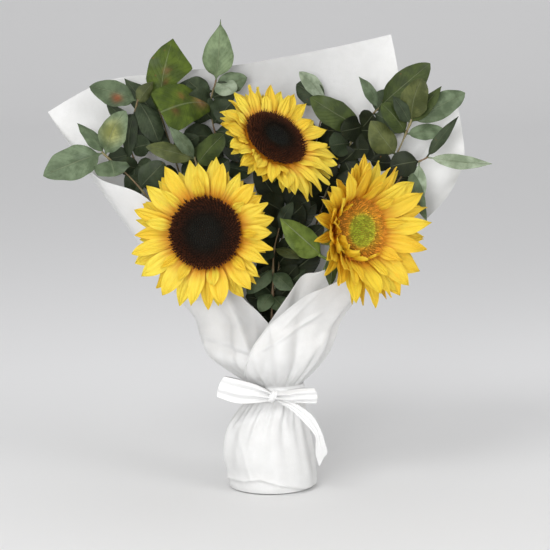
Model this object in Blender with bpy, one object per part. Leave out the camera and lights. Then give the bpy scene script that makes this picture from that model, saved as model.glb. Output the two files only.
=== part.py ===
"""Sunflower and eucalyptus bouquet in white paper, tied with a ribbon and standing on its foot.

Metres, +Z up. The origin is the middle of the foot's flat underside, and the front faces -Y.
Places inside the bouquet are written in millimetres, through mm().
"""
import math
import random

import bmesh
import bpy
from mathutils import Matrix, Vector

# Driving dimensions, metres
GAP = 0.0003
PAPER_THICK = 0.0008
BLADE_THICK = 0.0011
FOOT_RADIUS = 0.041
FOOT_HEIGHT = 0.012
WAIST_HEIGHT = 0.092
WAIST_RADIUS = 0.0235
WAIST_CENTRE_X = 0.0040
SHEET_STEP = 0.0016
STEM_CUT_HEIGHT = PAPER_THICK + GAP
SUNFLOWER_STEM_RADIUS = 0.0045
EUCALYPTUS_STEM_RADIUS = 0.0018
TWIG_RADIUS = 0.0009
STALK_RADIUS = 0.0014
TIE_RADIUS = 0.0177
TIE_THICK = 0.0012
TIE_HEIGHT = 0.0040
RIBBON_HEIGHT = 0.0125
RIBBON_THICK = 0.0010
RIBBON_CLEARANCE = 0.0009
NECK_BOTTOM = 0.0850
NECK_TOP = 0.0990

# How far the stems splay out below the tie, as a share of their place in it, by height
STEM_SPLAY = ((1.65, STEM_CUT_HEIGHT), (1.3, 0.045))

# Sunflower heads, with radii as shares of the disc's
PETALS_PER_LAYER = 15
PETAL_ROOT = 0.915
PETAL_ARCH = 0.05
PETAL_FOLD = 0.22
COLLAR_THICK = 0.0028
COLLAR_INNER = 0.72
COLLAR_OUTER = 0.96
DISC_FOOT = 0.82
DISC_SIDES = 26
DISC_RINGS = (0.16, 0.32, 0.46, 0.60, 0.73, 0.85, 0.96)
FLORET_RISE = 0.055
BRACT_COUNT = 13
BRACT_WIDTH = 0.012
BRACT_REACH = 0.017

# Sheets of paper: columns round them, the soft bulge above the neck, and the pleats
COLUMN_DEGREES = 10
PUFF_HEIGHT = 0.060
PUFF_DEPTH = 0.0112
FLARE = 0.14
LEFT_FULLNESS = 0.10
PLEAT_DEPTH = 0.0022

# Heights of the rows between the neck and the rim of a sheet, as shares of the way
SHEET_ROWS = (0.06, 0.14, 0.25, 0.39, 0.54, 0.69, 0.85, 1.0)

# Lines of the paper below the waist, as (radius, height, middle's x, depth of the gathers)
SKIRT = [(0.0405, 0.034, -0.0030, 0.0008), (0.0345, 0.060, -0.0030, 0.0012),
         (WAIST_RADIUS, NECK_BOTTOM, WAIST_CENTRE_X, 0.0003),
         (WAIST_RADIUS, NECK_TOP, WAIST_CENTRE_X, 0.0003)]
INNER_SKIRT = [(0, PAPER_THICK, 0, 0), (FOOT_RADIUS - 0.007, PAPER_THICK, 0, 0),
               (FOOT_RADIUS - 0.0022, 0.0035, 0, 0), (FOOT_RADIUS - 0.0015, FOOT_HEIGHT, 0, 0.0004),
               *SKIRT]
OUTER_SKIRT = [(FOOT_RADIUS - 0.0015, 0.0065, 0, 0.0004), (FOOT_RADIUS - 0.0015, 0.014, 0, 0.0004),
               *SKIRT]

# Width along a blade, as (share of length, share of full width)
PETAL_OUTLINE = [(0.20, 0.68), (0.52, 1.0), (0.82, 0.62)]
LEAF_OUTLINE = [(0.10, 0.10), (0.27, 0.80), (0.52, 1.0), (0.80, 0.52)]
BRACT_OUTLINE = [(0.15, 1.0), (0.60, 0.60)]

# Colours, linear RGB
YELLOW = (0.93, 0.60, 0.035)
GOLDEN = (0.92, 0.54, 0.035)
SEED_BROWN = (0.035, 0.018, 0.010)
SEED_GREEN = (0.20, 0.16, 0.03)
CALYX_GREEN = (0.10, 0.17, 0.03)
GUM_GREEN = (0.085, 0.13, 0.075)
DEEP_GREEN = (0.035, 0.065, 0.028)
PAPER_WHITE = (0.80, 0.80, 0.79)
RIBBON_WHITE = (0.86, 0.86, 0.85)
TWINE = (0.42, 0.30, 0.16)


def mm(x, y, z):
    """A point written in millimetres, in metres."""
    return Vector((x, y, z)) * 0.001


# The three heads: name, disc centre, facing direction, disc radius, petal length and width,
# cup of the upper and lower petal layer in degrees, colours of petals and disc
SUNFLOWERS = [
    ("left", mm(-57, -66, 247), Vector((-0.14, -0.97, 0.12)), 0.0325, 0.036, 0.0165,
     14, 4, YELLOW, SEED_BROWN),
    ("top", mm(2.5, -8, 323.5), Vector((0.458, -0.575, 0.678)), 0.0300, 0.035, 0.0155,
     14, 4, YELLOW, SEED_BROWN),
    ("right", mm(77.5, -50, 247), Vector((0.58, -0.80, 0.08)), 0.0285, 0.044, 0.0175,
     38, 24, GOLDEN, SEED_GREEN),
]

# Each sunflower's place in the tied bundle and the stem's way from there up to the neck
SUNFLOWER_STEMS = {
    "left": [mm(-7, -9, 92), mm(-27, -17, 150), mm(-46, -22, 205), mm(-53, -27, 236)],
    "top": [mm(1, 3, 92), mm(0, 7, 170), mm(-6, 12, 255), mm(-11.5, 12, 294.5)],
    "right": [mm(8, -7, 92), mm(31, -14, 150), mm(54, -19, 210), mm(58, -24, 231)],
}

# Green leaves on the sunflower stems: start in the stem, base and tip of the leaf, width
SUNFLOWER_LEAVES = {
    "left": [],
    "top": [],
    "right": [(mm(57, -20, 214), mm(44, -31, 222), mm(7, -43, 257), 0.028),
              (mm(57, -20, 216), mm(53, -33, 223), mm(54, -36, 193), 0.012)],
}

# Eucalyptus stems: name, colour, way up from the tie, and leaves as (share of the way,
# tip, width in millimetres, roll in degrees)
EUCALYPTUS = [
    ("left_front", GUM_GREEN,
     [mm(-13, -4, 92), mm(-62, -8, 195), mm(-115, -13, 276), mm(-154, -10, 314)],
     [(0.99, mm(-206, -22, 292), 34, 10), (0.97, mm(-131, -16, 352), 28, -18),
      (0.98, mm(-177, 2, 339), 15, 20), (0.93, mm(-138, -14, 287), 29, -15),
      (0.70, mm(-97, -24, 305), 25, 25)]),
    ("left_back", GUM_GREEN,
     [mm(-13.5, 2, 92), mm(-60, 8, 195), mm(-114, 12, 280), mm(-130, 17, 322), mm(-122, 16, 360)],
     [(0.99, mm(-166, 8, 372), 25, 0), (0.84, mm(-152, 24, 356), 16, 30),
      (0.99, mm(-104, 10, 320), 24, -20), (0.93, mm(-131, 8, 306), 15, 10),
      (0.97, mm(-108, 22, 376), 14, 15), (0.79, mm(-92, 12, 316), 24, -20),
      (0.62, mm(-128, 4, 262), 20, 20)]),
    ("left_tall", DEEP_GREEN,
     [mm(-10, 8, 92), mm(-45, 24, 185), mm(-78, 32, 270), mm(-104, 34, 350)],
     [(0.99, mm(-80, 50, 406), 35, -10), (0.85, mm(-142, 34, 342), 26, 15),
      (0.80, mm(-66, 24, 320), 28, -25), (0.66, mm(-122, 26, 285), 26, 20),
      (0.95, mm(-136, 44, 378), 24, 15), (0.66, mm(-44, 24, 290), 28, -20),
      (0.52, mm(-96, 22, 248), 24, 20)]),
    ("left_inner", DEEP_GREEN,
     [mm(-7.5, 1.5, 92), mm(-30, 2, 170), mm(-52, 4, 240), mm(-70, 4, 308)],
     [(0.99, mm(-114, -6, 318), 20, 15), (0.96, mm(-42, -2, 329), 26, -20),
      (0.99, mm(-93, -4, 337), 14, 5), (0.82, mm(-112, -6, 272), 24, 20),
      (0.70, mm(-30, -6, 281), 24, -15), (0.86, mm(-38, -2, 306), 24, -20),
      (0.60, mm(-88, -10, 244), 22, 20)]),
    ("tall_centre", GUM_GREEN,
     [mm(-3.5, 12.5, 92), mm(-20, 34, 185), mm(-40, 46, 280), mm(-56, 51, 345), mm(-51, 51, 376)],
     [(0.99, mm(-47, 54, 432), 30, 0), (0.98, mm(-33, 36, 364), 22, -20),
      (0.95, mm(-22, 52, 378), 20, 20), (0.90, mm(-86, 50, 372), 22, -15),
      (0.79, mm(-99, 6, 351), 38, 0), (0.80, mm(-20, 42, 338), 24, -20),
      (0.90, mm(-84, 57, 352), 22, 20), (0.64, mm(-4, 38, 300), 28, -20),
      (0.64, mm(-66, 37, 292), 28, 20)]),
    ("back_right", DEEP_GREEN,
     [mm(4, 13, 92), mm(16, 38, 185), mm(32, 53, 275), mm(52, 58, 358)],
     [(0.99, mm(26, 54, 383), 17, 10), (0.99, mm(24, 63, 371), 24, -15),
      (0.83, mm(8, 54, 342), 24, -15), (0.82, mm(76, 58, 322), 24, 20), (0.95, mm(70, 64, 342), 20, 5),
      (0.66, mm(8, 44, 296), 28, -15), (0.66, mm(66, 44, 291), 28, 20)]),
    ("right_back", DEEP_GREEN,
     [mm(9, 9, 92), mm(26, 28, 175), mm(55, 42, 280), mm(84, 47, 330), mm(101, 48, 350)],
     [(0.76, mm(36, 40, 360), 27, -10), (0.99, mm(81, 42, 379), 14, 20),
      (0.99, mm(149, 46, 391), 30, -8), (0.92, mm(128, 44, 334), 22, 15),
      (0.76, mm(100, 38, 300), 26, -20), (0.94, mm(112, 60, 368), 22, 20),
      (0.60, mm(90, 27, 266), 28, 20), (0.58, mm(22, 30, 268), 26, -20),
      (0.66, mm(54, 26, 316), 24, -10)]),
    ("right_high", GUM_GREEN,
     [mm(11.5, 3, 92), mm(40, 6, 175), mm(84, 10, 250), mm(114, 14, 305), mm(130, 14, 342)],
     [(0.99, mm(139, 8, 380), 27, -15), (0.98, mm(179, 18, 366), 24, 10),
      (0.90, mm(163, 18, 330), 18, -15), (0.90, mm(103, 5, 357), 25, 20),
      (0.77, mm(92, 4, 341), 26, -10), (0.97, mm(112, 8, 364), 15, 12), (0.70, mm(124, 2, 280), 20, 20),
      (0.62, mm(110, -6, 277), 24, 20), (0.60, mm(58, 16, 284), 28, -20),
      (0.92, mm(104, 22, 346), 18, -10), (0.97, mm(157, 14, 372), 16, -15)]),
    ("right_low", GUM_GREEN,
     [mm(14.5, -2, 92), mm(48, -6, 165), mm(88, -8, 240), mm(122, -6, 294), mm(144, -5, 309)],
     [(0.99, mm(202, -8, 302), 14, 0), (0.98, mm(171, -3, 346), 11, 20),
      (0.90, mm(128, -10, 258), 17, -15), (0.90, mm(109, -14, 301), 24, -15),
      (0.80, mm(142, -14, 252), 14, 15)]),
    ("centre_deep", DEEP_GREEN,
     [mm(0.5, -6, 92), mm(2, -4, 150), mm(7, 2, 205), mm(14, 4, 262)],
     [(0.99, mm(38, 2, 296), 24, 10), (0.90, mm(42, -6, 266), 26, -20),
      (0.84, mm(-24, -12, 266), 28, 20), (0.70, mm(-24, -12, 232), 26, 15),
      (0.70, mm(40, -8, 234), 26, -15), (0.50, mm(-20, -16, 202), 24, 20),
      (0.50, mm(32, -12, 206), 24, -20), (0.99, mm(-14, 0, 300), 22, 0)]),
    ("centre_low", GUM_GREEN,
     [mm(0.5, -14, 92), mm(1, -14, 150), mm(2, -15, 190), mm(3, -12, 222), mm(8, -6, 244)],
     [(0.62, mm(-22, -26, 187), 20, 10), (0.60, mm(20, -26, 190), 17, -15),
      (0.76, mm(-14, -26, 218), 16, 15), (0.78, mm(27, -26, 217), 12, -20),
      (0.92, mm(-10, -18, 247), 14, 0), (0.99, mm(20, -14, 268), 13, -10),
      (0.46, mm(-10, -30, 170), 15, 10), (0.44, mm(13, -28, 172), 17, -10)]),
]

# Rim of each paper sheet, as (degrees round the waist from +X, point on the rim), and the
# angles at which the rim turns a sharp corner
INNER_RIM = [
    (-90, mm(-2, -38, 160)), (-104, mm(-13, -43, 173)), (-118, mm(-28, -47, 187)),
    (-140, mm(-70, -46, 230)), (-155, mm(-113, -38, 276)), (-168, mm(-158, -15, 291)),
    (-178, mm(-183, 5, 319)), (-190, mm(-206, 20, 348)), (-199, mm(-159, 45, 373)),
    (-210, mm(-113, 62, 381)), (-243, mm(-34, 76, 388)), (-285, mm(56, 82, 404)),
    (-310, mm(114, 80, 417)), (-320, mm(121, 66, 375)), (-338, mm(122, 40, 320)),
    (-356, mm(112, 10, 268)), (-385, mm(84, -19, 226)), (-410, mm(47, -31, 208)),
    (-425, mm(30, -35, 204)), (-437, mm(16, -37, 186)),
]
INNER_CORNERS = (-90, -190, -310)
OUTER_RIM = [
    (-160, mm(-22.5, -9.5, 101)), (-150, mm(-20.5, -14, 103)), (-140, mm(-18.5, -18, 106)),
    (-130, mm(-17, -23.5, 111)), (-120, mm(-15, -29.5, 123)), (-110, mm(-12, -37, 141)),
    (-100, mm(-7, -40, 152)), (-90, mm(-1, -46, 161)), (-70, mm(29, -48, 186)),
    (-55, mm(54, -44, 197)), (-37, mm(95, -32, 216)), (-14, mm(146, -12, 257)),
    (1, mm(171, 8, 288)), (10, mm(179, 28, 310)), (20, mm(173, 52, 354)),
    (36, mm(133, 78, 352)), (50, mm(98, 92, 322)),
]
OUTER_CORNERS = (-160, -90, 20, 50)

# Ribbon: far ends of the two loops with their widths and depths, and the tail with its widths
KNOT_RADIUS = 0.0056
KNOT_HALF_HEIGHT = 0.0075
RIBBON_PINCH = 0.008
LOOPS = [(mm(-46, -29, 99.5), 0.0190, -0.0007), (mm(41, -29, 92), 0.0150, 0.0007)]
TAIL = [mm(18, -34, 80), mm(32, -41, 66), mm(42, -41, 52), mm(49, -36, 38), mm(46, -33, 25)]
TAIL_WIDTHS = [0.008, 0.010, 0.011, 0.012, 0.0125, 0.0125, 0.0125, 0.0125, 0.012, 0.0115, 0.010,
               0.007, 0.002]


def clear_scene():
    for obj in list(bpy.data.objects):
        bpy.data.objects.remove(obj)


def make_material(name, colour, roughness):
    material = bpy.data.materials.new(name)
    material.use_nodes = True
    shader = material.node_tree.nodes["Principled BSDF"]
    shader.inputs["Base Color"].default_value = (*colour, 1.0)
    shader.inputs["Roughness"].default_value = roughness
    shader.inputs["Metallic"].default_value = 0.0
    return material


def make_object(name, shape, material=None, collection=None):
    """An object from (vertices, faces), with its faces turned outwards."""
    mesh = bpy.data.meshes.new(name)
    mesh.from_pydata([tuple(v) for v in shape[0]], [], shape[1])
    bm = bmesh.new()
    bm.from_mesh(mesh)
    bmesh.ops.remove_doubles(bm, verts=bm.verts, dist=0.000001)
    bmesh.ops.recalc_face_normals(bm, faces=bm.faces)
    bm.to_mesh(mesh)
    bm.free()
    obj = bpy.data.objects.new(name, mesh)
    (collection or bpy.context.scene.collection).objects.link(obj)
    if material:
        mesh.materials.append(material)
    return obj


def fuse(name, shapes, material):
    """One body from shapes that reach into each other, by a single Boolean union."""
    base = make_object(name, shapes[0], material)
    repeats = bpy.data.collections.new(name + "_repeats")
    bpy.context.scene.collection.children.link(repeats)
    for index, shape in enumerate(shapes[1:]):
        make_object(name + "_piece_" + str(index), shape, None, repeats)
    union = base.modifiers.new("union", "BOOLEAN")
    union.operation = "UNION"
    union.operand_type = "COLLECTION"
    union.collection = repeats
    bpy.context.view_layer.update()
    evaluated = base.evaluated_get(bpy.context.evaluated_depsgraph_get())
    base.data = bpy.data.meshes.new_from_object(evaluated)
    base.modifiers.clear()
    for piece in list(repeats.objects):
        bpy.data.objects.remove(piece)
    bpy.data.collections.remove(repeats)
    return base


def shade_round(obj, angle):
    obj.data.shade_smooth()
    obj.data.set_sharp_from_angle(angle=math.radians(angle))


def smooth_path(points, samples):
    """Points on a Catmull-Rom curve through the given points, evenly spread by parameter."""
    ends = [2 * points[0] - points[1], *points, 2 * points[-1] - points[-2]]
    spans = len(points) - 1
    path = []
    for index in range(samples + 1):
        place = spans * index / samples
        span = min(int(place), spans - 1)
        t = place - span
        p0, p1, p2, p3 = ends[span:span + 4]
        path.append(0.5 * (2 * p1 + (p2 - p0) * t + (2 * p0 - 5 * p1 + 4 * p2 - p3) * t * t
                           + (3 * p1 - p0 - 3 * p2 + p3) * t ** 3))
    return path


def point_along(path, share):
    """The point at a share of a sampled path."""
    place = share * (len(path) - 1)
    index = min(int(place), len(path) - 2)
    return path[index].lerp(path[index + 1], place - index)


def tube(path, first_radius, last_radius, sides):
    """A closed tapering round bar along a path."""
    vertices = []
    faces = []
    across = None
    for index, point in enumerate(path):
        ahead = path[min(index + 1, len(path) - 1)] - path[max(index - 1, 0)]
        ahead.normalize()
        if index == 0:
            ahead = Vector((0, 0, 1)) if abs(ahead.z) > 0.5 else ahead
        across = across or ahead.orthogonal()
        across = (across - ahead * across.dot(ahead)).normalized()
        third = ahead.cross(across)
        radius = first_radius + (last_radius - first_radius) * index / (len(path) - 1)
        for side in range(sides):
            turn = 2 * math.pi * side / sides
            vertices.append(point + (across * math.cos(turn) + third * math.sin(turn)) * radius)
    for row in range(len(path) - 1):
        for side in range(sides):
            a = row * sides + side
            b = row * sides + (side + 1) % sides
            faces.append((a, b, b + sides, a + sides))
    faces.append(tuple(range(sides)))
    faces.append(tuple(range((len(path) - 1) * sides, len(path) * sides)))
    return vertices, faces


def lathe(profile, sides, place):
    """A closed turned body from (radius, height) pairs that start and end on the axis."""
    vertices = []
    faces = []
    rings = []
    for radius, height in profile:
        count = 1 if radius == 0 else sides
        rings.append((len(vertices), count))
        for side in range(count):
            turn = 2 * math.pi * side / sides
            vertices.append(place @ Vector((radius * math.cos(turn), radius * math.sin(turn), height)))
    for (low, low_count), (high, high_count) in zip(rings, rings[1:]):
        for side in range(sides):
            after = (side + 1) % sides
            if low_count == 1:
                faces.append((low, high + side, high + after))
            elif high_count == 1:
                faces.append((low + after, low + side, high))
            else:
                faces.append((low + side, low + after, high + after, high + side))
    return vertices, faces


def ring(place, inner, outer, low, high, sides):
    """A closed ring of rectangular section round the place's +Z axis."""
    vertices = []
    faces = []
    for side in range(sides):
        turn = 2 * math.pi * side / sides
        for radius, height in ((inner, low), (outer, low), (outer, high), (inner, high)):
            vertices.append(place @ Vector((radius * math.cos(turn), radius * math.sin(turn), height)))
        here = side * 4
        there = (side + 1) % sides * 4
        for corner in range(4):
            after = (corner + 1) % 4
            faces.append((here + corner, here + after, there + after, there + corner))
    return vertices, faces


def blade(root, tip, facing, width, outline, arch, fold):
    """A closed thin blade with a raised midrib, arched along and folded across its length."""
    along = tip - root
    side = along.cross(facing).normalized()
    up = side.cross(along).normalized()
    length = along.length
    vertices = [root.copy()]
    for share, spread in outline:
        centre = root + along * share + up * (arch * length * 4 * share * (1 - share))
        half = side * (width * spread / 2)
        lift = up * (fold * width * spread / 2)
        vertices += [centre - half + lift, centre + up * BLADE_THICK / 2,
                     centre + half + lift, centre - up * BLADE_THICK / 2]
    vertices.append(tip.copy())
    last = len(vertices) - 1
    faces = []
    for corner in range(4):
        after = (corner + 1) % 4
        faces.append((0, 1 + corner, 1 + after))
        faces.append((last, last - 4 + after, last - 4 + corner))
    for row in range(len(outline) - 1):
        left, top, right, bottom = [1 + row * 4 + corner for corner in range(4)]
        faces += [(left, top, top + 4), (left, top + 4, left + 4),
                  (right, top + 4, top), (right, right + 4, top + 4),
                  (left, bottom + 4, bottom), (left, left + 4, bottom + 4),
                  (right, bottom, bottom + 4), (right, bottom + 4, right + 4)]
    return vertices, faces


def head_frame(centre, normal):
    """The head's own frame: +Z out of the disc, origin in the middle of the disc's base."""
    turn = normal.normalized().to_track_quat("Z", "Y")
    return Matrix.Translation(centre) @ turn.to_matrix().to_4x4()


def petal_shapes(place, disc_radius, length, width, cups, draw):
    """The collar that the petals grow from, and two layers of petals."""
    shapes = [ring(place, disc_radius * COLLAR_INNER, disc_radius * COLLAR_OUTER, -COLLAR_THICK, 0, 24)]
    for layer, cup in enumerate(cups):
        depth = -COLLAR_THICK * (0.32 + 0.36 * layer)
        for index in range(PETALS_PER_LAYER):
            turn = 2 * math.pi * (index + 0.5 * layer + draw.uniform(-0.12, 0.12)) / PETALS_PER_LAYER
            lift = math.radians(cup + draw.uniform(-5, 5))
            reach = (length + disc_radius * 0.10) * draw.uniform(0.88, 1.06)
            out = Vector((math.cos(turn), math.sin(turn), 0))
            root = out * disc_radius * PETAL_ROOT + Vector((0, 0, depth))
            direction = out * math.cos(lift) + Vector((0, 0, math.sin(lift)))
            tip = root + direction * reach + out.cross(Vector((0, 0, 1))) * draw.uniform(-0.004, 0.004)
            facing = Vector((0, 0, 1)) + out.cross(Vector((0, 0, 1))) * draw.uniform(-0.22, 0.22)
            span = width * draw.uniform(0.84, 1.04)
            shapes.append(blade(place @ root, place @ tip, place.to_3x3() @ facing, span,
                                PETAL_OUTLINE, PETAL_ARCH, PETAL_FOLD))
    return shapes


def disc_shape(place, radius):
    """The seed disc: a low dome, dished in the middle, in rows of raised florets."""
    vertices = [place @ Vector((0, 0, radius * 0.10))]
    faces = []
    for row, share in enumerate(DISC_RINGS):
        dome = radius * (0.10 + 0.16 * math.sin(math.pi * min(share / 1.05, 1.0)) ** 1.5)
        for side in range(DISC_SIDES):
            turn = 2 * math.pi * (side + 0.5 * (row % 2)) / DISC_SIDES
            peak = row % 2 == 0 and side % 2 == row // 2 % 2
            raised = radius * (0.5 + share) * (FLORET_RISE if peak else -0.2 * FLORET_RISE)
            vertices.append(place @ Vector((radius * share * math.cos(turn),
                                            radius * share * math.sin(turn), dome + raised)))
    foot = len(vertices)
    edge = foot - DISC_SIDES
    for side in range(DISC_SIDES):
        turn = 2 * math.pi * (side + 0.5) / DISC_SIDES
        vertices.append(place @ Vector((radius * DISC_FOOT * math.cos(turn),
                                        radius * DISC_FOOT * math.sin(turn), GAP)))
    base = len(vertices)
    vertices.append(place @ Vector((0, 0, GAP)))
    for side in range(DISC_SIDES):
        after = (side + 1) % DISC_SIDES
        faces.append((0, 1 + side, 1 + after))
        for row in range(len(DISC_RINGS) - 1):
            low = 1 + row * DISC_SIDES
            high = low + DISC_SIDES
            if row % 2 == 0:
                faces += [(low + side, high + side, low + after),
                          (low + after, high + side, high + after)]
            else:
                faces += [(low + side, high + side, high + after),
                          (low + side, high + after, low + after)]
        faces += [(edge + side, foot + side, edge + after), (edge + after, foot + side, foot + after)]
        faces.append((base, foot + after, foot + side))
    return vertices, faces


def calyx_shapes(place, radius, route, draw):
    """The green cup under the head with its bracts, and the stem down to its cut end."""
    core = radius * COLLAR_INNER - GAP
    rim = radius * 0.93
    under_collar = -COLLAR_THICK - GAP
    profile = [(0, -0.020), (0.0062, -0.0185), (0.012, -0.0145), (radius * COLLAR_INNER, -0.0085),
               (rim, -0.0050), (rim, under_collar), (core, under_collar), (core, 0), (0, 0)]
    shapes = [lathe(profile, 14, place)]
    for index in range(BRACT_COUNT):
        turn = 2 * math.pi * index / BRACT_COUNT
        out = Vector((math.cos(turn), math.sin(turn), 0))
        root = out * radius * 0.80 + Vector((0, 0, -0.0062))
        tip = out * (radius + BRACT_REACH * draw.uniform(0.85, 1.1)) + Vector((0, 0, -0.0125))
        shapes.append(blade(place @ root, place @ tip, place.to_3x3() @ Vector((0, 0, 1)), BRACT_WIDTH,
                            BRACT_OUTLINE, 0.06, 0.15))
    back = place @ Vector((0, 0, -0.016))
    neck = place @ Vector((0, 0, -0.030))
    shapes.append(tube(smooth_path([*foot_route(route), neck, back], 14),
                       SUNFLOWER_STEM_RADIUS, SUNFLOWER_STEM_RADIUS, 8))
    return shapes


def foot_route(route):
    """A stem's way, begun at its cut end: the stems splay below the tie."""
    tied = route[0]
    below = [Vector((tied.x * splay, tied.y * splay, height)) for splay, height in STEM_SPLAY]
    return [*below, tied + Vector((WAIST_CENTRE_X, 0, 0)), *route[1:]]


def stem_leaf(anchor, base, tip, width):
    """A broad green leaf on a sunflower stem, with its short stalk."""
    stalk = tube([anchor, anchor.lerp(base, 0.5), base], STALK_RADIUS, STALK_RADIUS, 6)
    root = base.lerp(anchor, 0.3)
    return [stalk, blade(root, tip, Vector((0.2, -0.9, 0.4)), width, LEAF_OUTLINE, 0.06, -0.25)]


def make_sunflower(name, centre, normal, radius, length, width, upper_cup, lower_cup, colour, seeds):
    draw = random.Random(name)
    place = head_frame(centre, normal)
    petals = fuse("sunflower_" + name + "_petals",
                  petal_shapes(place, radius, length, width, (upper_cup, lower_cup), draw),
                  make_material(name + "_petals", colour, 0.55))
    shade_round(petals, 50)
    disc = make_object("sunflower_" + name + "_disc", disc_shape(place, radius),
                       make_material(name + "_disc", seeds, 0.9))
    route = SUNFLOWER_STEMS[name]
    shapes = calyx_shapes(place, radius, route, draw)
    for leaf in SUNFLOWER_LEAVES[name]:
        shapes += stem_leaf(*leaf)
    stem = fuse("sunflower_" + name + "_stem", shapes, make_material(name + "_stem", CALYX_GREEN, 0.7))
    shade_round(stem, 50)


def make_eucalyptus(name, colour, route, leaves):
    draw = random.Random(name)
    path = smooth_path(foot_route(route), 13)
    tied_share = 2 / (len(route) + 1)
    shapes = [tube(path, EUCALYPTUS_STEM_RADIUS, TWIG_RADIUS, 4)]
    for share, tip, width, roll in leaves:
        root = point_along(path, tied_share + (1 - tied_share) * share)
        facing = Vector((0.25 * draw.uniform(-1, 1), -1, 0.45))
        facing.rotate(Matrix.Rotation(math.radians(roll), 3, (tip - root).normalized()))
        arch = 0.05 + 0.05 * draw.random()
        shapes.append(blade(root, tip, facing, width * 0.001, LEAF_OUTLINE, arch, -0.18))
    stem = fuse("eucalyptus_" + name, shapes, make_material("gum_" + name, colour, 0.6))
    shade_round(stem, 40)


def rim_columns(rim, corners, closed):
    """(degrees, point) at even angles along a rim: smooth, but straight up to each corner."""
    stops = [rim[0], *rim, rim[-1]]
    if closed:
        stops = [(rim[-1][0] + 360, rim[-1][1]), *rim, (rim[0][0] - 360, rim[0][1]),
                 (rim[1][0] - 360, rim[1][1])]
        corners = (*corners, rim[0][0] - 360)
    columns = []
    for index in range(1, len(stops) - 2):
        (low, start), (high, end) = stops[index], stops[index + 1]
        leave = Vector() if low in corners else (end - stops[index - 1][1]) / 2
        arrive = Vector() if high in corners else (stops[index + 2][1] - start) / 2
        for step in range(math.ceil(min(low, high) / COLUMN_DEGREES),
                          math.ceil(max(low, high) / COLUMN_DEGREES)):
            t = (step * COLUMN_DEGREES - low) / (high - low)
            point = ((2 * t ** 3 - 3 * t * t + 1) * start + (t ** 3 - 2 * t * t + t) * leave
                     + (3 * t * t - 2 * t ** 3) * end + (t ** 3 - t * t) * arrive)
            columns.append((step * COLUMN_DEGREES, point))
    if not closed:
        columns.append(rim[-1])
    return sorted(columns, key=lambda column: column[0])


def sheet_column(rim_spot, degrees, extra, bottom):
    """Points up one line of a sheet: under the foot, up the skirt, through the waist, to the rim."""
    turn = math.radians(degrees)
    out = Vector((math.cos(turn), math.sin(turn), 0))
    pleat = math.cos(9 * turn) + 0.6 * math.cos(14 * turn + 1.0)
    column = []
    for radius, height, middle, ripple in bottom:
        column.append(Vector((middle, 0, height)) + out * (radius + extra + ripple * pleat))
    waist = column[-1]
    for share in SHEET_ROWS:
        flare = 1 + FLARE * (1 + out.x) * (1 - out.y) - LEFT_FULLNESS * max(0, -out.x)
        spot = waist.lerp(rim_spot, share ** flare)
        spot.z = waist.z + (rim_spot.z - waist.z) * share
        climb = min((spot.z - waist.z) / PUFF_HEIGHT, 1.0)
        puff = PUFF_DEPTH * (1 - 0.16 * out.x) * math.sin(math.pi * climb)
        wave = (PLEAT_DEPTH * pleat + extra) * math.sin(math.pi * share)
        column.append(spot + out * (puff + wave))
    return column


def sheet_solid(columns, closed):
    """A closed sheet of even thickness from columns of points on its inner face."""
    rows = len(columns[0])
    count = len(columns)
    outer = []
    for index in range(count):
        before = columns[index - 1] if closed or index else columns[index]
        after = columns[(index + 1) % count] if closed or index < count - 1 else columns[index]
        line = []
        for row in range(rows):
            up = columns[index][min(row + 1, rows - 1)] - columns[index][max(row - 1, 0)]
            normal = (after[row] - before[row]).cross(up).normalized()
            if columns[index][row].z <= PAPER_THICK * 1.001:
                normal = Vector((0, 0, -1))
            line.append(columns[index][row] + normal * PAPER_THICK)
        outer.append(line)
    vertices = [point for line in columns for point in line] + [point for line in outer for point in line]
    half = count * rows
    faces = []
    for index in range(count if closed else count - 1):
        here = index * rows
        there = (index + 1) % count * rows
        for row in range(rows - 1):
            faces += [(here + row, there + row, there + row + 1),
                      (here + row, there + row + 1, here + row + 1)]
            faces += [(half + here + row, half + there + row + 1, half + there + row),
                      (half + here + row, half + here + row + 1, half + there + row + 1)]
        for row in (0, rows - 1):
            faces.append((here + row, there + row, half + there + row, half + here + row))
    if not closed:
        for here in (0, (count - 1) * rows):
            for row in range(rows - 1):
                faces.append((here + row, here + row + 1, half + here + row + 1, half + here + row))
    return vertices, faces


def make_sheets(material):
    """The sheet at the back and left, which also closes the foot, and the one that crosses
    the front over it and goes round the right side."""
    inner = [sheet_column(point, degrees, 0, INNER_SKIRT)
             for degrees, point in rim_columns(INNER_RIM, INNER_CORNERS, True)]
    outer = [sheet_column(point, degrees, SHEET_STEP, OUTER_SKIRT)
             for degrees, point in rim_columns(OUTER_RIM, OUTER_CORNERS, False)]
    shade_round(make_object("wrap_inner_sheet", sheet_solid(inner, True), material), 60)
    shade_round(make_object("wrap_outer_sheet", sheet_solid(outer, False), material), 60)


def strip(path, facings, widths):
    """A closed ribbon along a path; facings point out of its face."""
    vertices = []
    faces = []
    for index, point in enumerate(path):
        ahead = (path[min(index + 1, len(path) - 1)] - path[max(index - 1, 0)]).normalized()
        out = facings[index] - ahead * facings[index].dot(ahead)
        out.normalize()
        across = ahead.cross(out).normalized() * widths[index] / 2
        out *= RIBBON_THICK / 2
        vertices += [point - across - out, point + across - out,
                     point + across + out, point - across + out]
    for row in range(len(path) - 1):
        for corner in range(4):
            a = row * 4 + corner
            b = row * 4 + (corner + 1) % 4
            faces.append((a, b, b + 4, a + 4))
    faces.append((0, 1, 2, 3))
    end = (len(path) - 1) * 4
    faces.append((end, end + 1, end + 2, end + 3))
    return vertices, faces


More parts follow.
